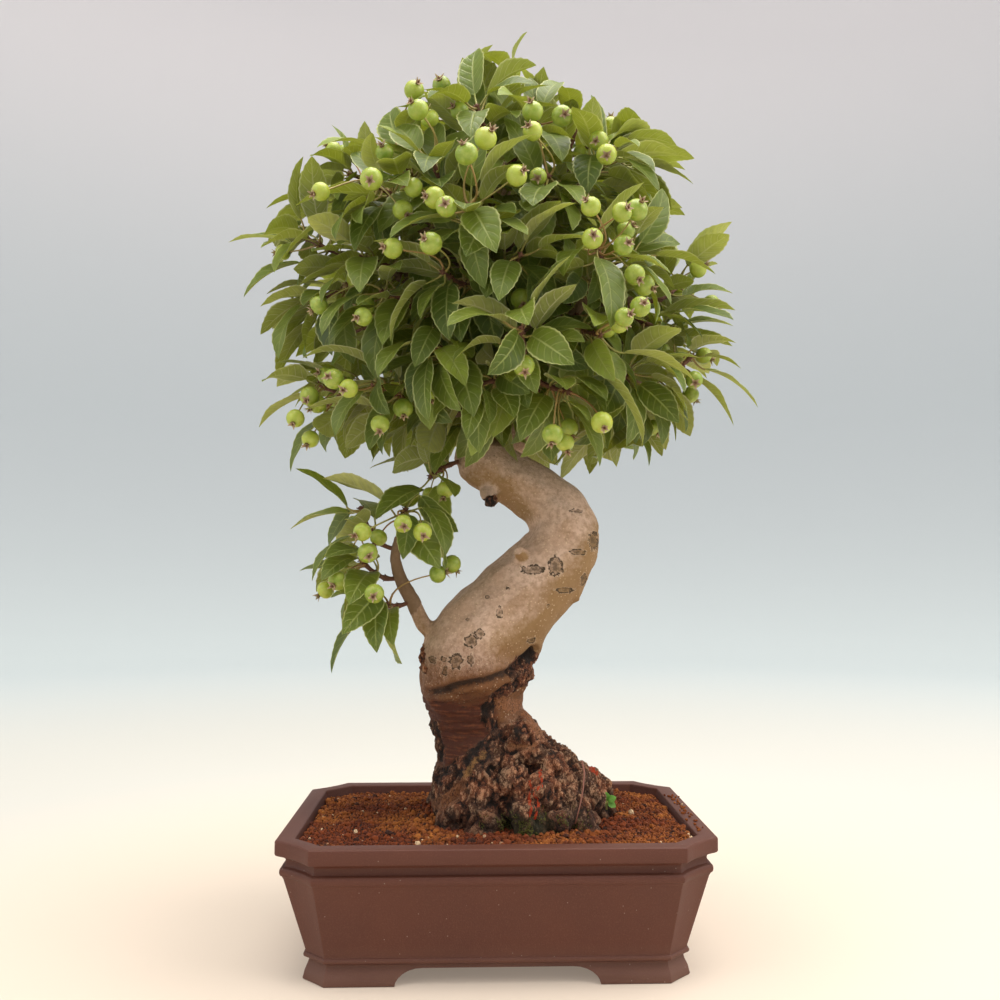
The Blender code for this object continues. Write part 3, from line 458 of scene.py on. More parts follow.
# %% The trunk, the roots and the branches
# Centre lines as (x, y, z, radius), from the photograph and from how such a tree grows
TRUNK_LOWER = [(-2, -5, 66, 42), (-4, -4, 88, 40), (-8, -2, 112, 36), (-12, 0, 133, 28),
               (-14, -2, 149, 30), (-15, -4, 162, 33), (-16, -6, 174, 36), (-15, -8, 187, 39),
               (-12, -8, 200, 38.5), (-4, -8, 214, 35.5), (12, -6, 231, 32.5), (34, -4, 252, 29.5),
               (47, -2, 271, 27), (49, 0, 289, 25), (39, 2, 305, 21.5), (22, 4, 317, 20),
               (5, 4, 327, 19.5), (-8, 5, 336, 20), (-18, 7, 342, 16.5), (-27, 8, 345, 8)]
TRUNK_UPPER = [(-14, 8, 342, 13), (-6, 20, 351, 16), (4, 30, 356, 15.5), (14, 33, 358, 14.5),
               (23, 32, 362, 13.6), (33, 28, 376, 12.8), (34, 22, 393, 12.8), (25, 16, 412, 12.7),
               (10, 10, 430, 13), (-2, 4, 446, 12.8), (-8, 2, 466, 11.6), (-6, 4, 489, 10.2),
               (1, 6, 513, 8.8), (5, 6, 539, 7.2), (2, 4, 569, 5.6), (0, 2, 596, 3.6)]
ROOTS = [
    [(22, -3, 68, 50), (21, -3, 86, 49), (17, -4, 104, 42), (6, -5, 122, 33), (-6, -4, 142, 26)],
    [(-14, -8, 150, 24), (-20, -18, 122, 16), (-24, -28, 100, 13), (-33, -38, 68, 12)],
    [(-6, -18, 140, 18), (-10, -34, 116, 15), (-8, -44, 94, 13), (-10, -50, 68, 13)],
    [(0, -6, 146, 24), (24, -8, 122, 22), (46, -10, 108, 21), (62, -8, 98, 20), (70, -6, 68, 16)],
    [(14, -16, 128, 19), (38, -30, 108, 17), (54, -38, 90, 14), (62, -42, 68, 13)],
    [(6, -20, 130, 17), (16, -40, 108, 15), (22, -50, 88, 13), (26, -54, 68, 12)],
    [(-12, 10, 144, 21), (-24, 24, 114, 16), (-34, 36, 90, 13), (-42, 42, 68, 11)],
    [(8, 12, 138, 22), (30, 28, 114, 19), (46, 40, 92, 15), (54, 44, 68, 12)],
]
BRANCHES = {
    "left_low": [(30, 25, 378, 5), (-14, -5, 371, 4.2), (-54, -10, 368, 3.6), (-90, -15, 375, 2.8)],
    "left_front": [(28, 20, 387, 5), (4, -12, 382, 4.6), (-42, -32, 412, 3.6), (-55, -42, 432, 2.8)],
    "right_low": [(34, 22, 395, 6), (62, 5, 388, 5), (95, -10, 392, 4), (122, -12, 398, 2.8)],
    "right_mid": [(10, 10, 430, 6), (45, 0, 446, 5), (80, -8, 452, 4), (112, -8, 452, 2.8)],
    "right_front": [(25, 16, 412, 5), (45, -25, 425, 4.4), (58, -50, 438, 3.6), (66, -68, 452, 2.8)],
    "right_up_front": [(-6, 4, 489, 5), (25, -15, 498, 4.4), (46, -30, 510, 3.8), (62, -42, 528, 2.8)],
    "left_mid": [(-2, 4, 446, 6), (-40, -10, 458, 5), (-80, -18, 470, 4), (-112, -18, 482, 2.8)],
    "left_up": [(-8, 2, 466, 5.5), (-35, 8, 496, 4.8), (-65, 8, 524, 4), (-88, 4, 540, 2.8)],
    "front_mid": [(-2, 4, 446, 5), (-6, -30, 458, 4.4), (-10, -58, 466, 3.8), (-14, -78, 474, 2.8)],
    "front_low": [(34, 22, 393, 5), (25, -20, 386, 4.4), (20, -50, 388, 3.8), (18, -74, 392, 2.8)],
    "front_left": [(-8, 2, 466, 5), (-32, -28, 480, 4.4), (-52, -50, 490, 3.8), (-62, -60, 500, 2.8)],
    "right_up": [(1, 6, 513, 5), (35, 8, 528, 4.4), (62, 8, 542, 3.8), (80, 6, 554, 2.8)],
    "back_left": [(-2, 4, 446, 5.5), (-35, 40, 450, 4.8), (-65, 68, 455, 4), (-80, 80, 462, 2.8)],
    "back_right": [(10, 10, 430, 5.5), (45, 42, 440, 4.8), (70, 65, 450, 4), (88, 80, 455, 2.8)],
    "back_mid": [(-8, 2, 466, 5.5), (-4, 40, 480, 4.8), (0, 70, 492, 4), (0, 92, 500, 2.8)],
    "back_low": [(33, 28, 376, 5), (20, 60, 378, 4.4), (5, 85, 384, 2.8)],
    "left_back_low": [(25, 16, 410, 5), (-20, 40, 400, 4.4), (-60, 50, 396, 3.8), (-90, 50, 400, 2.8)],
    "right_back_low": [(34, 24, 390, 5), (60, 50, 388, 4.2), (80, 60, 395, 2.8)],
    "back_up": [(1, 6, 513, 4.5), (0, 35, 535, 3.8), (0, 55, 552, 2.8)],
    "front_up": [(1, 6, 513, 4.5), (-4, -20, 535, 3.8), (-6, -35, 550, 2.8)],
    "lower_left": [(-30, -8, 205, 7), (-48, -10, 216, 6.2), (-58, -12, 235, 5.6), (-66, -16, 250, 4.8),
                   (-70, -18, 265, 4), (-68, -22, 280, 2.8)],
}

# %% The sprays
# The leafy sprays of each branch: at what share of its length each leaves it, where it ends,
# how many leaves and crab apples it bears, and the leaf tips that the crown's outline needs
SPRAYS = {
    "upper": [(1, (16, -4, 620), 6, 0, (24, -5, 656)), (0.93, (-32, 6, 598), 6, 1),
        (0.90, (36, 22, 590), 6, 1)],
    "front_up": [(1, (-14, -56, 574), 6, 1), (0.7, (28, -48, 566), 6, 0)],
    "back_up": [(1, (-8, 80, 568), 5, 1), (0.6, (-46, 52, 560), 5, 0)],
    "left_up": [(1, (-108, 0, 548), 6, 1, (-166, -10, 517), (-169, 15, 500), (-121, 0, 585)),
        (0.74, (-72, -26, 556), 6, 0), (0.6, (-82, 38, 525), 6, 1)],
    "right_up": [(1, (96, 5, 564), 6, 1, (143, -25, 552), (110, 0, 589), (144, 10, 558)),
        (0.7, (60, -8, 580), 6, 0), (0.8, (98, 40, 530), 6, 1)],
    "right_up_front": [(1, (78, -58, 545), 6, 1), (0.65, (34, -74, 518), 6, 1, (53, -100, 488))],
    "front_left": [(1, (-80, -78, 508), 6, 1, (-141, -70, 462)), (0.7, (-44, -78, 528), 6, 1)],
    "left_mid": [(1, (-138, -20, 494), 6, 1, (-190.5, -18, 489), (-176, -30, 446), (-153, -40, 461)),
        (0.82, (-128, -22, 444), 6, 1), (0.6, (-92, -58, 466), 6, 1)],
    "right_mid": [(1, (138, 2, 470), 6, 1, (174, 0, 503), (170, 20, 489), (177, 5, 462)),
        (0.86, (128, -14, 430), 6, 1, (176, 0, 436), (167, -30, 414)), (0.62, (96, -48, 474), 6, 0)],
    "front_mid": [(1, (-20, -106, 486), 6, 1, (-22, -151, 466), (-9, -112, 430)),
        (0.72, (14, -94, 458), 6, 1), (0.62, (-36, -88, 448), 6, 0, (-49, -105, 412))],
    "right_front": [(1, (62, -98, 462), 6, 1, (20, -108, 430)),
        (0.7, (66, -86, 408), 6, 1, (126, -88, 378), (92, -90, 336))],
    "front_low": [(1, (14, -104, 408), 6, 1, (46, -110, 388)),
        (0.8, (46, -78, 372), 6, 1, (67, -70, 324), (58, -100, 346)),
        (0.74, (-14, -78, 376), 6, 0, (-20, -96, 338))],
    "left_front": [(1, (-76, -74, 438), 6, 1, (-109, -84, 400), (-88, -108, 420)),
        (0.7, (-44, -76, 404), 6, 1, (-44, -92, 350))],
    "left_low": [(1, (-126, -16, 388), 6, 1, (-166, -20, 356), (-145, -10, 326)),
        (0.78, (-84, -48, 382), 6, 1, (-128, -58, 362))],
    "right_low": [(1, (143, -10, 412), 6, 0, (190.5, -8, 374), (164, -40, 356)),
        (0.7, (96, 8, 366), 6, 1, (112, 0, 332), (92, 24, 334)), (0.66, (92, -48, 392), 6, 0)],
    "back_left": [(1, (-100, 94, 476), 5, 1), (0.7, (-112, 62, 444), 5, 1), (0.8, (-48, 106, 452), 5, 0)],
    "back_right": [(1, (106, 92, 470), 5, 1), (0.7, (118, 56, 438), 5, 1), (0.8, (58, 108, 446), 5, 0)],
    "back_mid": [(1, (4, 116, 512), 5, 1, (6, 151, 492)), (0.78, (-46, 88, 516), 5, 1),
        (0.72, (48, 84, 520), 5, 1)],
    "back_low": [(1, (-8, 110, 402), 5, 1)],
    "left_back_low": [(1, (-116, 52, 402), 5, 1)],
    "right_back_low": [(1, (98, 76, 396), 5, 1)],
    "lower_left": [(1, (-62, -36, 298), 6, 1),
        (0.9, (-94, -22, 300), 5, 1, (-139, -25, 327), (-144, -15, 285)),
        (0.68, (-94, -18, 264), 5, 1, (-138, -10, 256)),
        (0.48, (-84, -26, 236), 5, 0, (-111, -35, 187), (-112, -10, 204))],
    "lower": [(0.985, (-46, -18, 322), 5, 1, (-52, -30, 350), (-81, -50, 290))],
}
LOW_SPRAYS = ("lower_left", "lower")   # those below the crown, which its outline doesn't bound

# %% [markdown]
# ### Lines, rings and search trees
#
# A path becomes rings of points, carried along it without twist. A search tree over such
# a skin answers quickly whether two shapes cross. It holds no mesh and shows nowhere.

# %% Rings round a path
def ring_frames(path):
    """Centre, direction, and two directions across it, carried along the path without twist."""
    centres = [Vector(point[:3]) for point in path]
    last = len(centres) - 1
    frames = []
    across = None
    for i, centre in enumerate(centres):
        along = (centres[min(i + 1, last)] - centres[max(i - 1, 0)]).normalized()
        if across is None:
            across = Vector((1, 0, 0)) if abs(along.x) < 0.9 else Vector((0, 1, 0))
        across = (across - along * across.dot(along)).normalized()
        frames.append((centre, along, across, along.cross(across)))
    return frames


def tube_rings(path, sides, lump=0, spare=0):
    """Rings round a path of (x, y, z, radius); lump varies the radius by that share."""
    rings = []
    frames = ring_frames(path)
    for point, (centre, along, across, other) in zip(path, frames):
        shift = along * spare * ((point is path[-1]) - (point is path[0]))
        ring = []
        for k in range(sides):
            angle = math.tau * k / sides
            out = across * math.cos(angle) + other * math.sin(angle)
            swell = 1 + lump * noise.noise((centre + out * 40) * 0.045)
            ring.append(centre + shift + out * (point[3] * swell + spare))
        rings.append(ring)
    return rings

# %% Search trees
def ring_polygons(rings):
    """Corners and faces of the skin over rings, closed at both ends."""
    count = len(rings[0])
    points = [point for ring in rings for point in ring]
    faces = [tuple(reversed(range(count)))]
    for level in range(len(rings) - 1):
        for k in range(count):
            low, high = level * count, (level + 1) * count
            faces.append((low + k, low + (k + 1) % count, high + (k + 1) % count, high + k))
    faces.append(tuple(range(len(points) - count, len(points))))
    return points, faces


def ring_tree(rings):
    """The box and the search tree of such a skin."""
    points, faces = ring_polygons(rings)
    low = Vector([min(p[axis] for p in points) for axis in range(3)])
    high = Vector([max(p[axis] for p in points) for axis in range(3)])
    return low, high, BVHTree.FromPolygons(points, faces)


def are_clear(shapes):
    """Whether shapes cross none of the obstacles that are listed by now."""
    for low, high, tree in shapes:
        for other_low, other_high, other in obstacles:
            if any(low[axis] > other_high[axis] or high[axis] < other_low[axis] for axis in range(3)):
                continue
            if tree.overlap(other):
                return False
    return True


def point_on(path, share):
    """The point, radius and direction at a share of a path's length."""
    points = [Vector(point[:3]) for point in path]
    lengths = [(b - a).length for a, b in zip(points, points[1:])]
    left = share * sum(lengths)
    for i, length in enumerate(lengths):
        if left <= length or i == len(lengths) - 1:
            part = min(left / length, 1)
            radius = path[i][3] + (path[i + 1][3] - path[i][3]) * part
            return points[i].lerp(points[i + 1], part), radius, (points[i + 1] - points[i]).normalized()
        left -= length

# %% [markdown]
# ### How a twig, a leaf and an apple are laid out
#
# A twig leaves its branch at a right angle and bends towards its tip. A blade is an arc
# from its foot to its tip, folded along the midrib. An apple hangs on a stalk that
# leaves the twig and turns outwards halfway.

# %% Twigs
def ring_points(centre, across, other, radius, sides):
    """A round section, drawn with its two directions."""
    turns = [math.tau * k / sides for k in range(sides)]
    return [centre + (across * math.cos(turn) + other * math.sin(turn)) * radius for turn in turns]


def twig_line(start, normal, end, share):
    """A point of a twig's middle line, which leaves along normal, and the direction there."""
    handle = start + normal * (end - start).length * 0.4
    point = start * (1 - share) ** 2 + handle * 2 * share * (1 - share) + end * share ** 2
    return point, ((handle - start) * (1 - share) + (end - handle) * share).normalized()


def twig_radius(share):
    return TWIG_RADIUS[0] + (TWIG_RADIUS[1] - TWIG_RADIUS[0]) * share


def twig_rings(start, normal, end, clusters):
    """Five-sided rings of a twig, with a pair of them at each cluster of leaves."""
    height = CLUSTER_HEIGHT / (end - start).length
    rings = []
    across = normal.orthogonal().normalized()
    for share in [0] + [place for cluster in clusters for place in (cluster - height, cluster)]:
        centre, along = twig_line(start, normal, end, share)
        across = (across - along * across.dot(along)).normalized()
        rings.append(ring_points(centre, across, along.cross(across), twig_radius(share), 5))
    return rings

# %% Blades
def leaf_point(leaf, share):
    """Midrib point, direction and upward normal at a share of the blade's length."""
    angle = leaf["curl"] * share
    ahead, normal = leaf["ahead"], leaf["normal"]
    bend = leaf["length"] / leaf["curl"]
    point = leaf["base"] + ahead * bend * math.sin(angle) - normal * bend * (1 - math.cos(angle))
    return (point, ahead * math.cos(angle) - normal * math.sin(angle),
            normal * math.cos(angle) + ahead * math.sin(angle))


def leaf_rings(leaf, spare=0):
    """The petiole's start is left out; the rings run from the blade's foot to its tip."""
    rings = []
    for share, wide in ((0, 0), (0.34, 1), (0.70, 0.72), (1, 0)):
        point, ahead, normal = leaf_point(leaf, share)
        side = normal.cross(ahead)
        half = leaf["width"] / 2 * wide + spare
        thick = LEAF_THICK / 2 + spare
        if share == 0:
            half = thick = 0.8 + spare
        if share == 1:
            half = thick = 0.35 + spare
        fold = leaf["fold"] if 0 < share < 1 else 0
        edge = side * half * math.cos(fold)
        rise = normal * half * math.sin(fold)
        rings.append([point - normal * thick, point + edge + rise,
                      point + normal * thick, point - edge + rise])
    return rings


def stalk_start(root, end):
    """The first stretch of a stalk, slim enough to pass its neighbours on the twig."""
    return ring_tree(tube_rings([(*root.lerp(end, 0.05), 0.4), (*root.lerp(end, 0.3), 0.4)], 3))


def leaf_shapes(leaf):
    """What must stay clear: the leaf, a little larger than life, and its stalk's start."""
    rings = leaf_rings(leaf, 0.25)
    start = leaf["root"].lerp(leaf["base"], 0.22)
    shift = start - leaf["base"]
    return [ring_tree([[point + shift for point in rings[0]]] + rings),
            stalk_start(leaf["root"], leaf["base"])]

# %% Apples
def fruit_rings(fruit, spare=0):
    """The apple in three eight-sided rings."""
    axis = fruit["axis"]
    side = axis.orthogonal().normalized()
    radius = fruit["radius"] + spare
    return [ring_points(fruit["middle"] - axis * radius * math.cos(turn), side, axis.cross(side),
                        radius * math.sin(turn), 8)
            for turn in (math.radians(angle) for angle in (52, 98, 150))]


def fruit_shapes(fruit):
    stalk_end = fruit["middle"] - fruit["axis"] * fruit["radius"] * 0.9
    start = fruit["root"].lerp(fruit["knee"], 0.2)
    path = [(*start, 1), (*fruit["knee"], 1), (*stalk_end, 1)]
    return [ring_tree(tube_rings(path, 4)), ring_tree(fruit_rings(fruit, 0.3)),
            stalk_start(fruit["root"], fruit["knee"])]

# %% The crown's outline
def crown_half_width(height):
    for (low, wide_low), (high, wide_high) in zip(CROWN, CROWN[1:]):
        if low <= height <= high:
            return wide_low + (wide_high - wide_low) * (height - low) / (high - low)
    return 0


def is_in_crown(point, low_spray):
    if low_spray:
        return 190 < point.z < 352 and -140 < point.x < -18 and abs(point.y) < 80
    half = crown_half_width(point.z)
    return half > 0 and (point.x / half) ** 2 + (point.y / (half * CROWN_DEPTH)) ** 2 < 1

# %% Draw a leaf or an apple
def aimed_leaf(slot, tip, draw):
    """A leaf whose tip is set by the crown's outline."""
    span = tip - slot["middle"]
    stalk = min(max(span.length - 48, 9), 24)
    towards = (span.normalized() * 0.8 + slot["out"] * 0.7).normalized()
    base = slot["middle"] + towards * stalk
    chord = tip - base
    curl = draw.uniform(0.5, 0.9)
    ahead = chord.normalized()
    up = Vector((draw.uniform(-0.45, 0.45), draw.uniform(-0.4, 0.2), 1))
    normal = (up - ahead * up.dot(ahead)).normalized()
    turned = Matrix.Rotation(-curl / 2, 3, normal.cross(ahead))
    length = chord.length * (curl / 2) / math.sin(curl / 2)
    return {"root": slot["middle"], "base": base, "ahead": (turned @ ahead).normalized(),
            "normal": (turned @ normal).normalized(), "length": length, "curl": curl,
            "width": min(length * draw.uniform(*LEAF_WIDTH), 23), "fold": draw.uniform(0.25, 0.5)}


def free_leaf(slot, draw, size, loose):
    """A leaf that leans out from its twig and droops; a loose one hangs and turns more freely."""
    outward = (slot["middle"] - CANOPY_MIDDLE).normalized()
    lean = math.radians(draw.uniform(15, 50))
    leave = slot["out"] * math.cos(lean) + slot["along"] * math.sin(lean)
    stalk = draw.uniform(*PETIOLE) * size
    sink = draw.uniform(0, 1.1) if loose else 0
    ahead = (leave + outward * 0.45 + Vector((0, 0, LEAF_RISE - sink)) + jitter(draw, 0.3)).normalized()
    base = slot["middle"] + (leave * 0.75 + ahead * 0.25).normalized() * stalk
    up = Vector((0, 0, 1)) + outward * (LEAF_FACES_OUT + sink) + jitter(draw, 0.65 if loose else 0.35)
    if abs(up.normalized().dot(ahead)) > 0.92:
        up = slot["along"] + jitter(draw, 0.3)
    normal = (up - ahead * up.dot(ahead)).normalized()
    length = draw.uniform(*LEAF_LENGTH) * size * (0.92 if loose else 1)
    return {"root": slot["middle"], "base": base, "ahead": ahead, "normal": normal,
            "length": length, "curl": draw.uniform(0.45, 1.1),
            "width": length * draw.uniform(*LEAF_WIDTH) * (1.16 if loose else 1),
            "fold": draw.uniform(0.2, 0.5)}


def free_fruit(slot, draw):
    outward = (slot["middle"] - CANOPY_MIDDLE).normalized()
    leave = (slot["out"] + slot["along"] * draw.uniform(0.2, 0.9)).normalized()
    stalk = draw.uniform(*PEDICEL)
    knee = slot["middle"] + leave * stalk * 0.5
    fall = (leave * 0.5 + outward * 0.6 + Vector((draw.uniform(-0.4, 0.4), 0, draw.uniform(-0.9, 0.1))))
    axis = fall.normalized()
    radius = draw.uniform(*FRUIT_RADIUS)
    return {"root": slot["middle"], "knee": knee, "axis": axis, "radius": radius,
            "middle": knee + axis * (stalk * 0.5 + radius)}

# %% [markdown]
# ### Laying out the sprays
#
# Twigs come first, then the leaves whose tips make the crown's outline, then apples, then
# the other leaves. Whatever would cross something already placed is drawn again. After
# that, blades and apples that the solids leave out are drawn in the same way, on the
# places of each twig that are still free, so that they cross nothing either.

# %% Grow the twigs
def twig_slots(rings, clusters):
    """The places on a twig that leaves and stalks can leave from."""
    slots = []
    for cluster in range(clusters):
        low, high = rings[1 + 2 * cluster], rings[2 + 2 * cluster]
        middle_line = sum(low, Vector()) / 5
        axis = (sum(high, Vector()) / 5 - middle_line).normalized()
        for side in range(5):
            corners = [low[side], low[(side + 1) % 5], high[(side + 1) % 5], high[side]]
            middle = sum(corners, Vector()) / 4
            out = middle - middle_line
            out = (out - axis * out.dot(axis)).normalized()
            slots.append({"middle": middle, "out": out, "along": axis,
                          "order": (side * 3) % 5 + cluster * 0.1})
    return slots


def grow_twig(number, parent, share, end, leaves, fruits, aims):
    """A spray's twig, drawn again until it is clear of what is there."""
    draw = random.Random(SEED * 1000 + number)
    centre, radius, along = point_on(all_paths[parent], share)
    for attempt in range(TWIG_TRIES):
        target = Vector(end) + jitter(draw, 1) * min(attempt, 14)
        if share == 1:
            start, normal = centre + along * GAP, along
        else:
            turn = jitter(draw, 1) * 0.04 * attempt
            out = target - centre
            out = (out - along * out.dot(along)).normalized() + turn
            out = (out - along * out.dot(along)).normalized()
            hit, normal = skins[parent][2].ray_cast(centre + out * (radius + 25), -out)[:2]
            if normal.dot(out) < 0:
                normal = -normal
            start = hit + normal * GAP
        clusters = (0.62, 1) if (target - start).length < SHORT_TWIG else (0.42, 0.72, 1)
        rings = twig_rings(start, normal, target, clusters)
        shape = ring_tree(rings)
        if are_clear([shape]):
            break
    obstacles.append(shape)
    return {"name": f"spray_{number:02d}", "rings": rings, "slots": twig_slots(rings, len(clusters)),
            "start": start, "normal": normal, "end": target, "clusters": clusters, "draw": draw,
            "leaves": leaves, "fruits": fruits, "aims": aims, "low": parent in LOW_SPRAYS}

# %% Place leaves and apples
def free_slots(spray):
    return [slot for slot in spray["slots"] if "kind" not in slot]


def place(slot, kind, growth, shapes):
    """Notes what grows on a slot, and keeps later shapes away from it."""
    slot["kind"], slot["growth"] = kind, growth
    obstacles.extend(shapes)


def place_outline_leaves(spray):
    """The leaves whose tips are set."""
    for aim in spray["aims"]:
        tip = Vector(aim)
        free = free_slots(spray)
        free.sort(key=lambda slot: -slot["out"].dot((tip - slot["middle"]).normalized()))
        for slot in free[:4] * AIM_TRIES:
            leaf = aimed_leaf(slot, tip, spray["draw"])
            shapes = leaf_shapes(leaf)
            leans_out = slot["out"].dot((leaf["base"] - leaf["root"]).normalized()) > 0.35
            if leans_out and are_clear(shapes):
                place(slot, "leaf", leaf, shapes)
                spray["leaves"] -= 1
                break


def place_fruits(spray, wanted, tries):
    """Crab apples on stalks that bend softly."""
    placed = 0
    for _ in range(wanted * tries):
        free = free_slots(spray)
        if not free:
            break
        slot = spray["draw"].choice(free)
        fruit = free_fruit(slot, spray["draw"])
        shapes = fruit_shapes(fruit)
        bends_softly = fruit["axis"].dot((fruit["knee"] - fruit["root"]).normalized()) > 0.25
        inside = bends_softly and is_in_crown(fruit["middle"], spray["low"])
        if inside and are_clear(shapes):
            place(slot, "fruit", fruit, shapes)
            placed += 1
            if placed == wanted:
                break


def place_leaves(spray, wanted, tries, loose=False):
    """Leaves that lean out of the crown and droop; late tries draw smaller ones."""
    placed = 0
    for attempt in range(tries[0]):
        free = sorted(free_slots(spray), key=lambda s: s["order"])
        if placed >= wanted or not free:
            break
        slot = free[attempt % min(len(free), 4)]
        leaf = free_leaf(slot, spray["draw"], 1 if attempt < tries[1] else 0.75, loose)
        if not is_in_crown(leaf_point(leaf, 1)[0], spray["low"]):
            continue
        shapes = leaf_shapes(leaf)
        if are_clear(shapes):
            place(slot, "leaf", leaf, shapes)
            placed += 1

# %% Lay out what the solids hold
all_paths = {"lower": TRUNK_LOWER, "upper": TRUNK_UPPER, **BRANCHES}
side_counts = {"lower": 10, "upper": 8}
skins = {name: ring_tree(tube_rings(path, side_counts.get(name, 5), TRUNK_LUMP if name == "lower" else 0))
         for name, path in all_paths.items()}
obstacles = list(skins.values()) + [ring_tree(tube_rings(path, ROOT_SIDES, ROOT_LUMP)) for path in ROOTS]
sprays = []
for parent, group in SPRAYS.items():
    for share, end, leaves, fruits, *aims in group:
        sprays.append(grow_twig(len(sprays) + 1, parent, share, end, leaves, fruits, aims))
for spray in sprays:
    place_outline_leaves(spray)
for spray in sprays:
    place_fruits(spray, spray["fruits"], FRUIT_TRIES)
for spray in sprays:
    place_leaves(spray, spray["leaves"], LEAF_TRIES)
grown = [slot for spray in sprays for slot in spray["slots"] if "kind" in slot]
print("leaves and apples in the solids:", len(grown))

# %% [markdown]
# ### More than the solids hold
#
# The solids bear one apple a spray and fewer leaves than the tree. So each twig gets
# further places between its clusters. First come the crab apples that the photo shows at
# the front: each is looked for along the camera's line of sight, from the front of the
# crown inwards, until a stalk reaches it from a twig and no blade hides it. A thin tube
# from it towards the camera then keeps later leaves from covering it.

# %% Further places on the twigs
EXTRA_SHARES = (0.3, 0.54, 0.86)     # where along a twig the further leaves leave it
EXTRA_APPLES = 1                     # on each spray, at the back and sides too
EXTRA_LEAVES = 10


def twig_point(spray, share):
    return twig_line(spray["start"], spray["normal"], spray["end"], share)


def slots_round(point, along, reach, count, turn):
    """Places round a point of a twig or branch, reach away from its middle line."""
    across = along.orthogonal().normalized()
    other = along.cross(across)
    slots = []
    for side in range(count):
        angle = math.tau * (side + turn) / count
        out = across * math.cos(angle) + other * math.sin(angle)
        slots.append({"middle": point + out * reach, "out": out, "along": along,
                      "order": (side * 3) % count + turn * 0.1})
    return slots


for spray in sprays:
    for number, share in enumerate(EXTRA_SHARES):
        spray["slots"] += slots_round(*twig_point(spray, share), 1.2, 5, 0.5 * number)
print("places on the twigs:", sum(len(spray["slots"]) for spray in sprays))

# %% Crab apples that the photo shows
# Their x and z on the upright plane through the trunk, as the camera sees them
SEEN_APPLES = [(-60, 612), (-57, 597), (22, 597), (56, 594), (28, 582), (83, 565), (-7, 576), (-21, 564),
               (16, 548), (-60, 538), (-68, 521), (-91, 544), (-134, 534), (-30, 524), (-47, 496), (-75, 492),
               (71, 525), (94, 521), (105, 523), (95, 496), (66, 501), (97, 474), (110, 466), (107, 450),
               (95, 442), (82, 440), (-96, 441), (-128, 449), (-106, 388), (-134, 382), (-144, 366),
               (-117, 395), (-133, 351), (140, 396), (51, 349), (42, 355), (72, 364), (-83, 362)]
SEEN_LOW_APPLES = [(-58, 284), (-66, 290), (-40, 270), (-35, 254), (-95, 284), (-97, 269), (-112, 255),
                   (-95, 249)]
SIGHT_DEPTHS = range(-150, 60, 4)    # y of the places that are tried, from the front
STALK_REACH = (15, 43)               # from the twig to the middle of the apple
USUAL_REACH = 24                     # twigs about this far away are tried first, twelve of them
SHARPEST_BEND = -0.15                # cosine between where a stalk leaves and where it ends
SIDESTEPS = ((0, 0), (6, 0), (-6, 0), (0, 6), (0, -6), (9, 9), (-9, -9), (9, -9), (-9, 9))
CAMERA_POINT = Vector(CAMERA_PLACE) / MM


def is_seen(middle, radius):
    """Whether no blade lies between an apple and the camera."""
    back = (CAMERA_POINT - middle).normalized()
    for x, z in ((0, 0), (0.6, 0), (-0.6, 0), (0, 0.6), (0, -0.6)):
        start = middle + Vector((x, 0, z)) * radius + back * radius
        if blades.ray_cast(start, back)[0] is not None:
            return False
    return True


def reach_apple(slot, middle, radius, knee_share):
    """An apple at a given place on a stalk from a slot, or None where that would bend sharply."""
    leave = (slot["out"] + slot["along"] * 0.5).normalized()
    knee = slot["middle"] + leave * (middle - slot["middle"]).length * knee_share
    axis = (middle - knee).normalized()
    if leave.dot(axis) < SHARPEST_BEND:
        return None
    return {"root": slot["middle"], "knee": knee, "axis": axis, "radius": radius, "middle": middle}


def place_seen_apple(x, z, low_spray, draw):
    """Hangs one apple as far forward on its line of sight as a stalk can reach."""
    radius = draw.uniform(*FRUIT_RADIUS) + 0.2
    for (aside, above), depth in product(SIDESTEPS, SIGHT_DEPTHS):
        towards = Vector((x + aside, 0, z + above)) - CAMERA_POINT
        middle = CAMERA_POINT + towards * (depth - CAMERA_POINT.y) / towards.y
        if not is_in_crown(middle, low_spray) or not is_seen(middle, radius):
            continue
        near = [(abs((slot["middle"] - middle).length - USUAL_REACH), index, slot)
                for index, slot in enumerate(slot for spray in sprays for slot in free_slots(spray))
                if STALK_REACH[0] < (slot["middle"] - middle).length < STALK_REACH[1]]
        for (_, _, slot), knee_share in product(sorted(near)[:12], (0.4, 0.2)):
            fruit = reach_apple(slot, middle, radius, knee_share)
            shapes = fruit_shapes(fruit) if fruit else []
            if fruit and are_clear(shapes):
                place(slot, "fruit", fruit, shapes)
                back = (CAMERA_POINT - middle).normalized()
                sight = [(*(middle + back * (radius + 1)), 4), (*(middle + back * 120), 4)]
                obstacles.append(ring_tree(tube_rings(sight, 4)))
                return True
    return False


blade_points, blade_faces = [], []
for slot in grown:
    if slot["kind"] == "leaf":
        points, faces = ring_polygons(leaf_rings(slot["growth"]))
        blade_faces += [[index + len(blade_points) for index in face] for face in faces]
        blade_points += points
blades = BVHTree.FromPolygons(blade_points, blade_faces)
draw = random.Random(SEED)
hung = [place_seen_apple(x, z, False, draw) for x, z in SEEN_APPLES]
hung += [place_seen_apple(x, z, True, draw) for x, z in SEEN_LOW_APPLES]
print("apples where the photo shows them:", sum(hung), "of", len(hung))

# %% Further leaves on the twigs, and spurs on the branches
LOW_LEAVES = 2                       # on each spray below the crown, where the branch shows
EXTRA_FRUIT_TRIES, EXTRA_LEAF_TRIES, SPUR_TRIES = 30, (130, 80), (40, 10)
SPUR_SHARES = (0.24, 0.34, 0.44, 0.54, 0.64, 0.74, 0.84, 0.94)
SPUR_LEAVES = 5

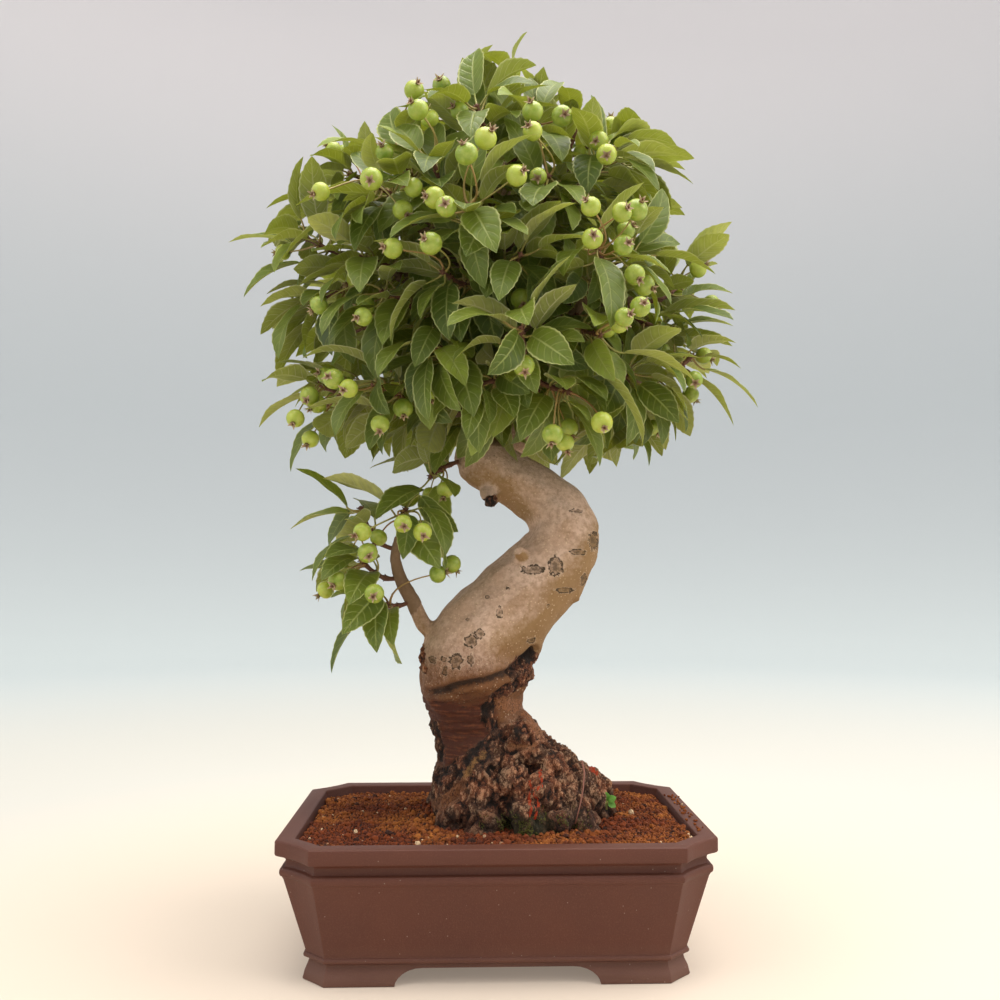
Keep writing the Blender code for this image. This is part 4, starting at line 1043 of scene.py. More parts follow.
for spray in sprays:
    if spray["end"].y > -20:
        place_fruits(spray, EXTRA_APPLES, EXTRA_FRUIT_TRIES)
for spray in sprays:
    place_leaves(spray, LOW_LEAVES if spray["low"] else EXTRA_LEAVES, EXTRA_LEAF_TRIES, True)
spurs = []
for name in [name for name in ("upper", *BRANCHES) if name not in LOW_SPRAYS]:
    for number, share in enumerate(SPUR_SHARES):
        centre, radius, along = point_on(all_paths[name], share)
        spur = {"slots": slots_round(centre, along, radius + 0.8, SPUR_LEAVES, 0.5 * number),
                "low": False, "draw": random.Random(f"{name} {number}")}
        place_leaves(spur, SPUR_LEAVES, SPUR_TRIES, True)
        spurs.append(spur)
kinds = [slot["kind"] for spray in sprays + spurs for slot in spray["slots"] if "kind" in slot]
print("leaves:", kinds.count("leaf"), "apples:", kinds.count("fruit"))

# %% [markdown]
# ## The trunk
#
# Above the bulge the bark is thin, pinkish grey and nearly smooth, with old bud scars and
# corky dots. Below it the trunk is pinched into a reddish, wrinkled waist, and the root
# base is a burr of knobs, plates and cracks, half of it dark and flaky. All the tubes are
# drawn finer than their solids, through the same centre lines, and a voxel remesh melts
# them into one skin. Then every point of it is moved along its normal by rules that
# depend on where it is, as a carver would work on it.

# %% Fine tubes through the same centre lines
def smooth_path(path, steps):
    """A curve through all points of a path, radius included, with steps between two."""
    points = [Vector(point) for point in path]
    points = [points[0] * 2 - points[1]] + points + [points[-1] * 2 - points[-2]]
    curve = []
    for a, b, c, d in zip(points, points[1:], points[2:], points[3:]):
        for step in range(steps):
            t = step / steps
            curve.append((b * 2 + (c - a) * t + (a * 2 - b * 5 + c * 4 - d) * t ** 2
                          + (b * 3 - a - c * 3 + d) * t ** 3) * 0.5)
    curve.append(points[-2])
    return [tuple(point) for point in curve]


# Short stubs of lost twigs and knobs of bark: x, y, z and radius of both ends
STUBS = [((40, -8, 240, 13), (60, -11, 241, 6)), ((22, -14, 262, 9), (15, -34, 270, 3.5)),
         ((-2, -4, 312, 9), (-4, -16, 304, 3.5)), ((4, -14, 196, 15), (21, -20, 190, 9)),
         ((8, -16, 182, 12), (18, -24, 176, 7)), ((-30, -6, 146, 12), (-40, -10, 139, 6)),
         ((16, -26, 140, 12), (20, -37, 149, 8)), ((22, -32, 132, 10), (29, -43, 136, 6.5)),
         ((-38, -10, 196, 12), (-50, -14, 198, 7))]
# Knobs of the burr: middle and radius
BURR = [((-2, -44, 108), 11), ((10, -48, 118), 10), ((-6, -36, 126), 10), ((30, -46, 112), 12),
        ((44, -40, 104), 12), ((54, -26, 112), 12), ((66, -22, 100), 11), ((70, -6, 96), 12),
        ((36, -34, 126), 11), ((48, -16, 122), 11), ((18, -54, 98), 9), ((-22, -42, 98), 9),
        ((60, 14, 102), 12), ((44, 32, 108), 12), ((20, 38, 112), 12), ((-10, 36, 110), 11),
        ((-32, 22, 106), 11), ((-30, -6, 120), 10), ((40, -52, 92), 9), ((8, 22, 132), 12)]

trunk_mesh = bmesh.new()
tubes = [(smooth_path(TRUNK_LOWER, 5), 28, TRUNK_LUMP), (smooth_path(TRUNK_UPPER, 4), 16, 0.06)]
tubes += [(smooth_path(path, 5), 16, ROOT_LUMP) for path in ROOTS]
tubes += [(smooth_path(path, 6), 10, 0.08) for path in BRANCHES.values()]
tubes += [([start, end], 10, 0.2) for start, end in STUBS]
for path, sides, lump in tubes:
    part = bmesh.new()
    skin(part, tube_rings(path, sides, lump))
    bmesh.ops.recalc_face_normals(part, faces=part.faces)
    join(trunk_mesh, part)
for middle, radius in BURR:
    bmesh.ops.create_icosphere(trunk_mesh, subdivisions=2, radius=radius, matrix=Matrix.Translation(middle))
print("tubes:", len(tubes), "knobs:", len(BURR))

# %% Melt them into one skin
VOXEL = 1.6

fused = helper_object("fused", trunk_mesh)
remesh = fused.modifiers.new("melt", "REMESH")
remesh.mode = "VOXEL"
remesh.voxel_size = VOXEL
soften = fused.modifiers.new("soften", "SMOOTH")
soften.factor = 0.5
soften.iterations = 3
trunk_mesh = evaluated_bmesh(fused)
trunk_mesh.normal_update()
print("trunk points:", len(trunk_mesh.verts))

# %% [markdown]
# ### Carving the bark
#
# Old bark is craggy: ridges stand between sinuous cracks, drawn by the zero lines of two
# noises, and flakes lie in steps. A dark seam of it runs down the front, with a pinched,
# finely creased waist at its left. Knots are rings, scars are ragged ovals, and folds are
# soft grooves along lines of the photograph. In a few places the burr's bark has come off
# and smooth orange cork shows. What each rule does is also kept as an attribute, which
# the bark's material reads for its colours. The relief is lowered in the folds, on the seam
# and on the dark lines, so that the material paints shade there.

# %% Where the bark is old, creased or scarred
# Bud scars on the front: x, z, half width, half height
SCARS = [(-27, 196, 4.2, 4.6), (-17, 209, 4.6, 3.6), (2, 228, 2.2, 3.6), (-6, 238, 1.4, 1.6),
         (-19, 223, 1.6, 1.4), (-11, 214, 3.2, 2.8), (25, 257, 7.6, 3), (41, 259, 4.8, 6),
         (57, 269, 6, 1.8), (69, 277, 3.6, 6), (57, 298, 5, 1.4), (47, 243, 6.4, 1.8),
         (-35, 197, 2, 1.8), (-43, 196, 3.2, 2.4), (-17, 197, 2, 4), (-34, 189, 1.6, 3),
         (24, 209, 3, 1.6), (8, 244, 1.4, 1.4), (62, 250, 3, 4), (36, 232, 1.4, 1.2)]
# Knots on the burr: x, z and radius
KNOTS = [(19, 149, 5.6), (27, 144, 3.6), (-4, 124, 6), (14, 128, 5.4)]
# Folds: points (x, z) along each, how deep and how wide
FOLDS = [([(-44, 174), (-36, 176), (-28, 179), (-13, 183), (-2, 185), (8, 188), (16, 193), (25, 202)],
          4.6, 2.8),
         ([(-33, 176), (-24, 173), (-14, 176)], 1.6, 1.8),
         ([(-40, 168), (-22, 165), (-6, 163)], 1.2, 2.6),
         ([(-34, 156), (-20, 153), (-8, 155)], 0.8, 2), ([(-36, 147), (-22, 144), (-10, 146)], 0.8, 2)]
SEAM = [(24, 197), (19, 183), (10, 177), (0, 171), (-5, 164), (-6, 157), (-2, 151), (0, 145), (-6, 138)]
LEFT_EDGE = [(-51, 202), (-50, 188)]
# Darkest bark: the flap at the left, the stub above the bend, whose darkness is partly painted shade, and the
# band under the waist
DARK_LINES = [([(-43, 148), (-39, 127)], 4), ([(-3, 305), (-8, 303)], 4),
              ([(-6, 138), (-16, 130), (-28, 121), (-38, 112)], 5)]
RIDGE = [(-9, 134), (-14, 129), (-20, 121), (-23, 114)]
# Smooth cork: a line in the front view and how far from it
CORK = [([(4, 166), (13, 163)], 4.5), ([(22, 157), (31, 145)], 3.4), ([(24, 138), (10, 138)], 2.2),
        (RIDGE, 1.8), ([(-23, 112), (-42, 94)], 3)]
EMBERS = [[(29, 124), (28, 115)], [(22, 118), (21, 98)], [(26, 114), (25.5, 97)], [(66, 119), (70, 115)]]


def line_distance(x, z, points):
    """How far a point of the front view is from a line drawn on it."""
    best = 1e9
    here = Vector((x, z))
    for a, b in zip(points, points[1:]):
        a, b = Vector(a), Vector(b)
        share = min(max((here - a).dot(b - a) / (b - a).length_squared, 0), 1)
        best = min(best, (here - a.lerp(b, share)).length)
    return best


def near_line(p, points, width, wobble=2):
    """1 on a line of the front view, 0 beyond its width, with an uneven edge."""
    if p.y > 10:
        return 0
    reach = line_distance(p.x, p.z, points) + wobble * noise.noise(p * 0.3)
    return smooth_step(width * 1.4, width * 0.8, reach) * smooth_step(10, -2, p.y)


def near_any(p, lines):
    return max(near_line(p, line, width) for line, width in lines)


def is_trunk(p):
    """Near the thick lower trunk and its roots, and not a twiggy branch."""
    return p.z < 165 or (p.z < 345 and skins["lower"][2].find_nearest(p)[3] < 16)


def old_bark(p):
    """1 on the craggy root base, 0 on the smooth trunk."""
    edge = 150 + 8 * noise.noise(p * 0.06) + 8 * smooth_step(-4, 6, p.x)
    old = smooth_step(edge + 10, edge - 14, p.z)
    waist = smooth_step(2, -8, p.x) * smooth_step(-6, 6, p.z - 130 - 0.25 * p.x) * smooth_step(10, -6, p.y)
    knob = smooth_step(15, 8, (Vector((p.x, p.z)) - Vector((20, 188))).length)
    behind = smooth_step(4, 18, p.y) * smooth_step(196, 168, p.z) * 0.8
    return max(old * (1 - waist), knob, behind, near_any(p, DARK_LINES), near_line(p, SEAM, 4),
               near_line(p, LEFT_EDGE, 2.2))

# %% Move every point
noise.seed_set(SEED)          # or else the vector noise differs from run to run


def crags(p):
    """Craggy bark at a point: distance from deep and from fine cracks, and the step of the flake."""
    warped = p + noise.noise_vector(p * 0.06) * 6 + noise.noise_vector(p * 0.25) * 1.4
    grain = Vector((warped.x, warped.y, warped.z * 0.62))
    deep = min(abs(noise.noise(grain * 0.11)) * 3.6, 1)
    fine = min(abs(noise.noise(grain * 0.42 + Vector((40, 0, 0)))) * 3, 1)
    return deep, fine, round(noise.noise(grain * 0.21) * 5) / 5


layers = {name: trunk_mesh.verts.layers.float.new(name)
          for name in ("old", "relief", "under", "warm", "waist", "scar", "cork", "ochre", "damp", "moss",
                       "ember", "twiggy")}
for vert in trunk_mesh.verts:
    p, n = vert.co.copy(), vert.normal
    thick = is_trunk(p)
    marks = dict.fromkeys(layers, 0)
    rise, relief = 0, 0.5
    if not thick:
        rise = noise.noise(p * 0.03) * 0.5 + noise.noise(p * 0.3) * 0.25
        marks["twiggy"] = smooth_step(1, 10, skins["upper"][2].find_nearest(p)[3])
    else:
        cork = near_any(p, CORK) if p.z < 175 else 0
        old = old_bark(p) * (1 - (0.75 if p.z > 137 else 0.45) * cork)
        smooth = 1 - old
        if old > 0.01:
            deep, fine, flake = crags(p)
            rise += old * (noise.noise(p * 0.045) * 2.4 + (deep - 1) * 2.6 + (fine - 1) * 1.2
                           + flake * 1.8 + 1.2)
            relief += old * ((deep - 0.6) * 0.45 + (fine - 0.6) * 0.4 + flake * 0.3)
            # Painted shade: lower relief on the seam and the dark lines makes the material darken them
            relief -= 0.3 * max(0.6 * near_line(p, SEAM, 4), near_any(p, DARK_LINES))
        rise += smooth * (noise.noise(p * 0.03) * 1.3 + noise.noise(p * 0.12) * 0.6)
        waist = smooth_step(177, 163, p.z + 5 * noise.noise(p * 0.1)) * smooth * (1 - cork)
        waist *= smooth_step(6, -3, p.x)
        if waist > 0:
            ripple = math.sin(p.z * 1.15 + 3 * noise.noise(p * 0.07)) + 0.6 * math.sin(p.z * 2.3 + p.x * 0.1)
            rise += waist * 0.5 * ripple
            relief += waist * 0.1 * ripple
        if n.y < 0.2 and p.z > 160:
            for x, z, wide, high in SCARS:
                reach = math.hypot((p.x - x) / wide, (p.z - z) / high) * (1 + 0.4 * noise.noise(p * 0.6))
                if reach < 2:
                    rise += 0.6 * math.exp(-((reach - 1.2) / 0.3) ** 2) - 0.9 * math.exp(-(reach / 0.8) ** 2)
                    marks["scar"] = max(marks["scar"], 1 - reach / 2)
        if n.y < 0.2 and p.z < 165:
            for x, z, radius in KNOTS:
                reach = math.hypot(p.x - x, (p.z - z) * 0.85) / radius
                if reach < 1.5:
                    ring = math.cos(reach * 9) * math.exp(-reach ** 4 * 0.5)
                    rise += 0.8 * ring + 1.2 * smooth_step(1.3, 0.8, reach)
                    relief += 0.35 * ring
        if p.y < 12 and n.y < 0.35:
            for points, depth, width in FOLDS:
                reach = line_distance(p.x, p.z, points)
                if reach < width * 3:
                    groove = math.exp(-(reach / width) ** 2)
                    rise += depth * (0.35 * math.exp(-((reach - 1.7 * width) / width) ** 2) - groove)
                    # Painted shade: a fold's groove also lowers the relief, which the material darkens
                    relief -= 0.5 * groove * min(depth / 3.4, 1)
        soil_line = smooth_step(109, 92, p.z + 5 * noise.noise(p * 0.2))
        marks.update({"old": old, "cork": cork, "waist": waist,
                      # Painted shade: olive bark where the surface faces down or to the right, partly the
                      # greener bark of a shaded side
                      "under": smooth_step(0.35, -0.55, n.z * 0.9 - n.x * 0.45),
                      # Orange brown of the lower trunk, made darker as painted shade under the overhanging
                      # bulge
                      "warm": smooth_step(216, 178, p.z + 8 * noise.noise(p * 0.05)),
                      "ochre": 0.8 * near_line(p, RIDGE[:3], 1.8, 2.4) if p.z < 140 else 0,
                      "damp": soil_line * (1 - cork),
                      "moss": soil_line * smooth_step(0, 10, p.x) * smooth_step(46, 32, p.x)
                      * smooth_step(-20, -34, p.y),
                      "ember": max(near_line(p, line, 1.5, 1.2) for line in EMBERS) if p.z < 130 else 0})
    marks["relief"] = min(max(relief, 0), 1)
    vert.co = p + n * rise
    for name, layer in layers.items():
        vert[layer] = marks[name]
print("carved points:", len(trunk_mesh.verts))

# %% [markdown]
# ### Bark
#
# Young apple bark is a thin cork, pinkish beige and matt, with dark specks and pale pores.
# It is drawn pale where it faces the sky and olive brown where it faces down or to the
# right: painted shade, partly the greener bark of a shaded side. Towards the fold it turns
# orange brown, made darker as painted shade under the overhanging bulge, and the waist below
# is a dark red brown with fine creases. Old bark has died in layers: the outermost flakes are
# pale, dry and pinkish, the cracks are nearly black. Its colour follows the carved height, so
# the black cracks are partly painted shade and the palest tops partly a painted highlight;
# folds, the seam and other low relief are darkened as painted shade too. The material mixes
# all this by the attributes of the carving and breaks every border up with noise, because no
# border on bark is straight.

# %% Patterns of the bark
# Each noise: how its blobs are stretched, their size in mm, detail, roughness and distortion
EVEN, UPRIGHT = (1, 1, 1), (1, 1, 0.5)
BARK_NOISES = [(EVEN, 24, 4, 0.6, 0), (EVEN, 3, 6, 0.65, 0), (EVEN, 0.9, 2, 0.5, 0),
               (EVEN, 11, 3, 0.5, 0), ((0.12, 0.12, 1), 1.5, 3, 0.5, 0.4),
               (UPRIGHT, 1.2, 4, 0.5, 1.4), (UPRIGHT, 4.6, 4, 0.7, 0), ((1, 1, 0.16), 1.3, 2, 0.5, 0)]

bark, tree, mm = start_material("apple_bark", Roughness=0.85)
share = {name: add_node(tree, "Attribute", output="Fac", attribute_name=name) for name in layers}
broad, fine, dust, lichen, crease, flecks, plates, threads = [
    add_node(tree, "TexNoise", {
        "Vector": add_node(tree, "VectorMath", {0: mm, 1: stretch}, operation="MULTIPLY"),
        "Scale": 1 / size, "Detail": detail, "Roughness": rough, "Distortion": bend})
    for stretch, size, detail, rough, bend in BARK_NOISES]
specks = add_node(tree, "TexVoronoi", {"Vector": mm, "Scale": 1 / 3.4})
pores = add_node(tree, "TexVoronoi", {"Vector": mm, "Scale": 1 / 2.6, "Randomness": 0.9})
ragged = add_node(tree, "Math", {0: fine, 1: 0.5}, operation="SUBTRACT")
crust = 0
for blobs, depth in ((flecks, 2.2), (plates, 4.4)):
    side = add_node(tree, "Math", {0: blobs, 1: 0.5}, operation="SUBTRACT")
    crack = add_node(tree, "Math", {0: side}, operation="ABSOLUTE")
    crust = add_node(tree, "Math", {0: crack, 1: depth, 2: crust}, operation="MULTIPLY_ADD")
height = add_node(tree, "Math", {0: crust, 1: share["relief"]}, operation="ADD")
lumpy = add_node(tree, "Math", {0: flecks, 1: 0.5, 2: -0.25}, operation="MULTIPLY_ADD")
cork = add_node(tree, "Math", {0: share["cork"], 1: lumpy}, operation="ADD")
ember = add_node(tree, "Math", {0: threads, 1: share["ember"]}, operation="MULTIPLY")
scar = add_node(tree, "Math", {0: ragged, 1: 0.8, 2: share["scar"]}, operation="MULTIPLY_ADD")
scar = add_node(tree, "Math", {0: crease, 1: 0.35, 2: scar}, operation="MULTIPLY_ADD")
high_up = add_node(tree, "SeparateXYZ", {0: mm}, "Z")
print("patterns of the bark:", len(tree.nodes), "nodes")

# %% How strongly each pattern shows
# Source, how far noise tears its border, the range that is read, and the least and the most share
for name, source, tear, low, high, least, most in (
        ("patch", broad, 0, 0.35, 0.65, 0, 1), ("grey", fine, 0, 0.42, 0.66, 0, 0.6),
        # The next row holds painted shade: the sides that face down or right, and the lower trunk under the
        # bulge
        ("under", share["under"], 0.7, 0.1, 0.85, 0, 0.9), ("orange", share["warm"], 0.6, 0.05, 1, 0, 0.9),
        ("waist", share["waist"], 0.5, 0.1, 0.8, 0, 1), ("creases", crease, 0.6, 0.5, 0.72, 0, 0.5),
        ("pore size", broad, 0, 0.35, 0.6, 0.14, 0.3), ("speck size", high_up, 0, 285, 335, 0.001, 0.42),
        ("plate", lichen, 0, 0.42, 0.58, 0, 1), ("old", share["old"], 0.9, 0.4, 0.6, 0, 1),
        # Colour by the crust's height: painted shade in the cracks and a painted highlight on the highest
        # flakes, besides their weathering
        ("dull flakes", height, 0, 0.5, 0.82, 0, 1), ("pale flakes", height, 0, 0.98, 1.22, 0, 0.95),
        ("cork", cork, 1.2, 0.42, 0.7, 0, 0.7), ("pits", flecks, 0, 0.38, 0.52, 0.85, 0),
        # The groove row is painted shade: low relief turns dark
        ("flecks", flecks, 0, 0.47, 0.36, 0, 0.75), ("groove", share["relief"], 0.9, 0.08, 0.3, 0.85, 0),
        ("damp", share["damp"], 1, 0.3, 0.8, 0, 0.5), ("moss", share["moss"], 1.6, 0.6, 0.85, 0, 0.6),
        ("ember", ember, 0, 0.42, 0.48, 0, 0.95), ("scar floor", scar, 0, 0.59, 0.87, 0, 0.4),
        ("scar core", scar, 0, 0.87, 1.02, 0, 0.6), ("scar arcs", fine, 0, 0.44, 0.5, 0, 0.95)):
    torn = source
    if tear:
        torn = add_node(tree, "Math", {0: ragged, 1: tear, 2: source}, operation="MULTIPLY_ADD")
    soft = name in ("old", "dull flakes", "pale flakes")
    share[name] = add_node(tree, "MapRange", {0: torn, 1: low, 2: high, 3: least, 4: most},
                           interpolation_type="SMOOTHSTEP" if soft else "LINEAR")
for name, operation, inputs in (
        ("speck size", "MULTIPLY", (share["speck size"], broad)),
        ("pits", "MULTIPLY", (share["pits"], share["cork"])),
        ("mottle", "MULTIPLY", (share["flecks"], share["warm"])),
        ("twig", "MULTIPLY", (share["twiggy"], 0.85)),
        ("scar line", "COMPARE", (scar, 0.72, 0.07)), ("scar rim", "COMPARE", (scar, 0.58, 0.045)),
        ("rough cork", "MULTIPLY", (share["cork"], 0.5))):
    share[name] = add_node(tree, "Math", dict(enumerate(inputs)), operation=operation)
share["scar line"] = add_node(tree, "Math", {0: share["scar line"], 1: share["scar arcs"]},
                              operation="MULTIPLY")
for name, source, size, most in (("pores", pores, "pore size", 0.7), ("specks", specks, "speck size", 0.85)):
    share[name] = add_node(tree, "MapRange", {0: source, 2: share[size], 3: most, 4: 0})
for name, factor in (("scar rim", 0.25), ("dark line", 0.95)):
    source = share["scar line" if name == "dark line" else name]
    share[name] = add_node(tree, "Math", {0: source, 1: factor}, operation="MULTIPLY")
print("shares:", len(share))

# %% Tones of the bark
# Each coat: its first tone, then the tones or earlier coats that lie over it, with their shares
coats = {}
for name, tone, upper_tones in (
        ("creases", "4a1f0c", [("90502b", "creases")]),
        ("dull flakes", "84492b", [("573521", "plate")]),
        ("pale flakes", "cf946c", [("b68c6a", "plate")]),
        # Cracks nearly black and the highest flakes pale: partly painted shade and a painted highlight
        ("flakes", "190d06", [("dull flakes", "dull flakes"), ("pale flakes", "pale flakes")]),
        ("cork", "94592f", [("a3704e", "patch"), ("b28244", "ochre")]),
        ("bark", "d3b39c", [
            # Painted shade: the olive of the sides facing down or right, and the dark orange brown under the
            # bulge
            ("bb997f", "patch"), ("9c7f66", "grey"), ("8b6a3e", "under"), ("6f421f", "orange"),
            ("e4c8a6", "pores"), ("46351f", "specks"), ("creases", "waist"), ("flakes", "old"),
            # The groove tone is painted shade in folds, seams and cracks
            ("cork", "cork"), ("4a2c16", "mottle"), ("3a2114", "pits"), ("24160d", "groove"),
            ("2f1f13", "damp"), ("37381c", "moss"), ("c23f12", "ember"), ("7a5f44", "twig"),
            ("6e5636", "scar floor"), ("3d2d1c", "scar core"), ("d9bfa4", "scar rim"),
            ("3a2c1b", "dark line")])):
    for upper, factor in upper_tones:
        upper = coats.get(upper, upper)
        tone = add_node(tree, "Mix", {FACTOR: share[factor], A: tone, B: upper}, data_type="RGBA")
    coats[name] = tone
rough = add_node(tree, "Math", {0: share["rough cork"], 1: share["old"]}, operation="MAXIMUM")
relief = 0
for pattern, depth in ((dust, 0.25), (fine, 0.35), (crust, rough), (crease, share["waist"]),
                       (share["scar line"], -0.7)):
    relief = add_node(tree, "Math", {0: pattern, 1: depth, 2: relief}, operation="MULTIPLY_ADD")
dress(tree, coats["bark"], relief, 0.9, 0.0016)
trunk_search = BVHTree.FromBMesh(trunk_mesh)
hand_over("trunk_bark", trunk_mesh, [bark], ["trunk"])
print("bark mixed from", len(tree.nodes), "nodes")

# %% [markdown]
# ## The soil
#
# Akadama is a baked clay in grains of 2 to 5 mm, orange brown, with paler and darker ones
# among them. The soil's solid, finely divided and roughened, is the ground below the
# grains. The grains are icosahedrons of twenty faces, squashed and turned at random. They
# are made by doubling: one grain is copied, then the two, then the four, so that a dozen
# steps make some eight thousand.

# %% The ground below the grains
SOIL_BOX_LOW = 74             # below this height the soil can't be seen

soil_mesh = bmesh.new()
soil_mesh.from_mesh(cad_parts["soil"].data)
bmesh.ops.scale(soil_mesh, vec=(1 / MM, 1 / MM, 1 / MM), verts=soil_mesh.verts)
bmesh.ops.remove_doubles(soil_mesh, verts=soil_mesh.verts, dist=0.01)
for longest in (24, 12, 7, 4.5):
    long_edges = [edge for edge in soil_mesh.edges if edge.calc_length() > longest
                  and min(vert.co.z for vert in edge.verts) > SOIL_BOX_LOW
                  and all(face.normal.z > 0.5 for face in edge.link_faces)]
    bmesh.ops.subdivide_edges(soil_mesh, edges=long_edges, cuts=1, use_grid_fill=True)
    bmesh.ops.triangulate(soil_mesh, faces=[face for face in soil_mesh.faces if len(face.verts) > 4])
for vert in soil_mesh.verts:
    if vert.co.z > SOIL_BOX_LOW and all(face.normal.z > 0.5 for face in vert.link_faces):
        vert.co.z += 0.8 * noise.noise(vert.co * 0.35)
soil_search = BVHTree.FromBMesh(soil_mesh)
print("soil points:", len(soil_mesh.verts))

# %% Doubling a small shape
def make_copies(bm, count):
    """Doubles what is in the bmesh until there are count copies; returns their corners."""
    size = len(bm.verts)
    made = 1
    while made < count:
        wanted = min(made, count - made) * size
        verts = list(bm.verts)[:wanted]
        chosen = set(verts)
        faces = [face for face in bm.faces if face.verts[0] in chosen]
        bmesh.ops.duplicate(bm, geom=verts + faces)
        made += wanted // size
    verts = list(bm.verts)
    return [verts[i * size:(i + 1) * size] for i in range(count)]

# %% Scatter the grains
GRAIN_PITCH = 2
SOIL_INSET = RIM_WIDTH + 3
FALLEN_GRAINS = 46            # a few that fell on the right of the rim
PALE_STONES = ((64, -38, 3), (96, -4, 2.8), (-92, -50, 2.2), (20, 62, 2.6))     # x, y and radius

draw = random.Random(SEED)
places = []
half_x, half_y = POT_LENGTH / 2 - SOIL_INSET, POT_DEPTH / 2 - SOIL_INSET
cut_line = half_x + half_y - (CORNER_CUT - SOIL_INSET * (2 - math.sqrt(2)))
down = Vector((0, 0, -1))
for column in range(int(2 * half_x / GRAIN_PITCH)):
    for row in range(int(2 * half_y / GRAIN_PITCH)):
        x = -half_x + (column + draw.uniform(0.1, 0.9)) * GRAIN_PITCH
        y = -half_y + (row + draw.uniform(0.1, 0.9)) * GRAIN_PITCH
        near_foot = math.hypot(x - 15, y + 20) < 75          # where more of the grains are large
        big = draw.random() < (0.2 if near_foot else 0.06)
        radius = draw.uniform(1.5, 2.6) if big else draw.uniform(0.7, 1.4)
        if abs(x) + abs(y) > cut_line:
            continue
        hit = soil_search.ray_cast(Vector((x, y, 96)), down)[0]
        if hit is None or hit.z < SOIL_BOX_LOW:
            continue
        middle = hit + Vector((0, 0, radius * draw.uniform(0.1, 0.55)))
        nearest, normal, _, distance = trunk_search.find_nearest(middle)
        if distance < 0.6 or (middle - nearest).dot(normal) < 0:
            continue
        places.append((middle, radius, draw.random() * 0.98))
for _ in range(FALLEN_GRAINS):
    spot = Vector((draw.gauss(133.5, 2.2), draw.uniform(-62, 44), POT_HEIGHT + 0.6))
    places.append((spot, draw.uniform(0.7, 1.2), draw.uniform(0.3, 0.98)))
for x, y, radius in PALE_STONES:
    hit = soil_search.ray_cast(Vector((x, y, 120)), down)[0]
    places.append((hit + Vector((0, 0, radius * 0.5)), radius, 1))
grain_mesh = bmesh.new()
bmesh.ops.create_icosphere(grain_mesh, subdivisions=1, radius=1)
shade = grain_mesh.verts.layers.float.new("shade")
for corners, (middle, radius, tone) in zip(make_copies(grain_mesh, len(places)), places):
    turn = Euler([draw.uniform(0, math.tau) for _ in range(3)]).to_matrix()
    squash = Vector([draw.uniform(0.7, 1.15) * radius for _ in range(3)])
    for vert in corners:
        jagged = vert.co * squash * draw.uniform(0.85, 1.12)
        vert.co = middle + turn @ jagged
        vert[shade] = tone
print("grains:", len(places), "triangles:", len(grain_mesh.faces))

# %% [markdown]
# ### Baked clay grains
#
# Akadama is matt and drinks light. Its colour differs from grain to grain, which the
# shade attribute carries, and wet or dusty patches make the bed darker or paler in
# places.

# %% Material of the soil
akadama, tree, mm = start_material("akadama_grains", Roughness=0.95)
shade_of = add_node(tree, "Attribute", output="Fac", attribute_name="shade")
patch = add_node(tree, "TexNoise", {"Vector": mm, "Scale": 1 / 34, "Detail": 3})
pitted = add_node(tree, "TexNoise", {"Vector": mm, "Scale": 1 / 0.8, "Detail": 3})
wet, dry = [add_node(tree, "Mix", {FACTOR: shade_of, A: dark, B: light}, data_type="RGBA")
            for dark, light in (("491b06", "7e380c"), ("6e310d", "a76526"))]
grains = wet
for tone, source, low, high, least, most in ((dry, patch, 0.42, 0.66, 0, 1),
                                             ("d9bf98", shade_of, 0.97, 0.975, 0, 0.8),
                                             ("2a160c", shade_of, 0.05, 0.055, 0.75, 0)):
    amount = add_node(tree, "MapRange", {0: source, 1: low, 2: high, 3: least, 4: most})
    grains = add_node(tree, "Mix", {FACTOR: amount, A: grains, B: tone}, data_type="RGBA")
dress(tree, grains, pitted, 0.5, 0.0004)
hand_over("soil_bed", soil_mesh, [akadama], ["soil"], 50)
hand_over("soil_grains", grain_mesh, [akadama], (), 20)

# %% [markdown]
# ## The leaves
#
# A crabapple leaf is an oval blade with a drawn-out tip, folded along its midrib and
# arched over, with fine teeth; its material paints a pale highlight along the rim. Each
# starts as Blender's grid. The grid's place along and across the blade is kept as two
# attributes, the grid is extruded once to have an upper and an under side, and every corner
# is set on the arc that the layout gives. Both sides meet at the rim, so a blade is a closed
# lens half a millimetre thick.

# %% Shape one blade
STATIONS = 18                 # steps along a blade; every second one carries a tooth
BLADE_THICK = 0.6
LEAF_UPPER, LEAF_UNDER, STALK, TWIG, APPLE, CALYX = range(6)    # the material slots of a spray
SHARP_RIM = 65                # degrees; a blade's rim folds more than this


def blade_width(share):
    """Half width along the blade, as a share of the widest."""
    return math.sin(math.pi * share ** 0.8) ** 0.66 * (1 - 0.45 * share ** 7)


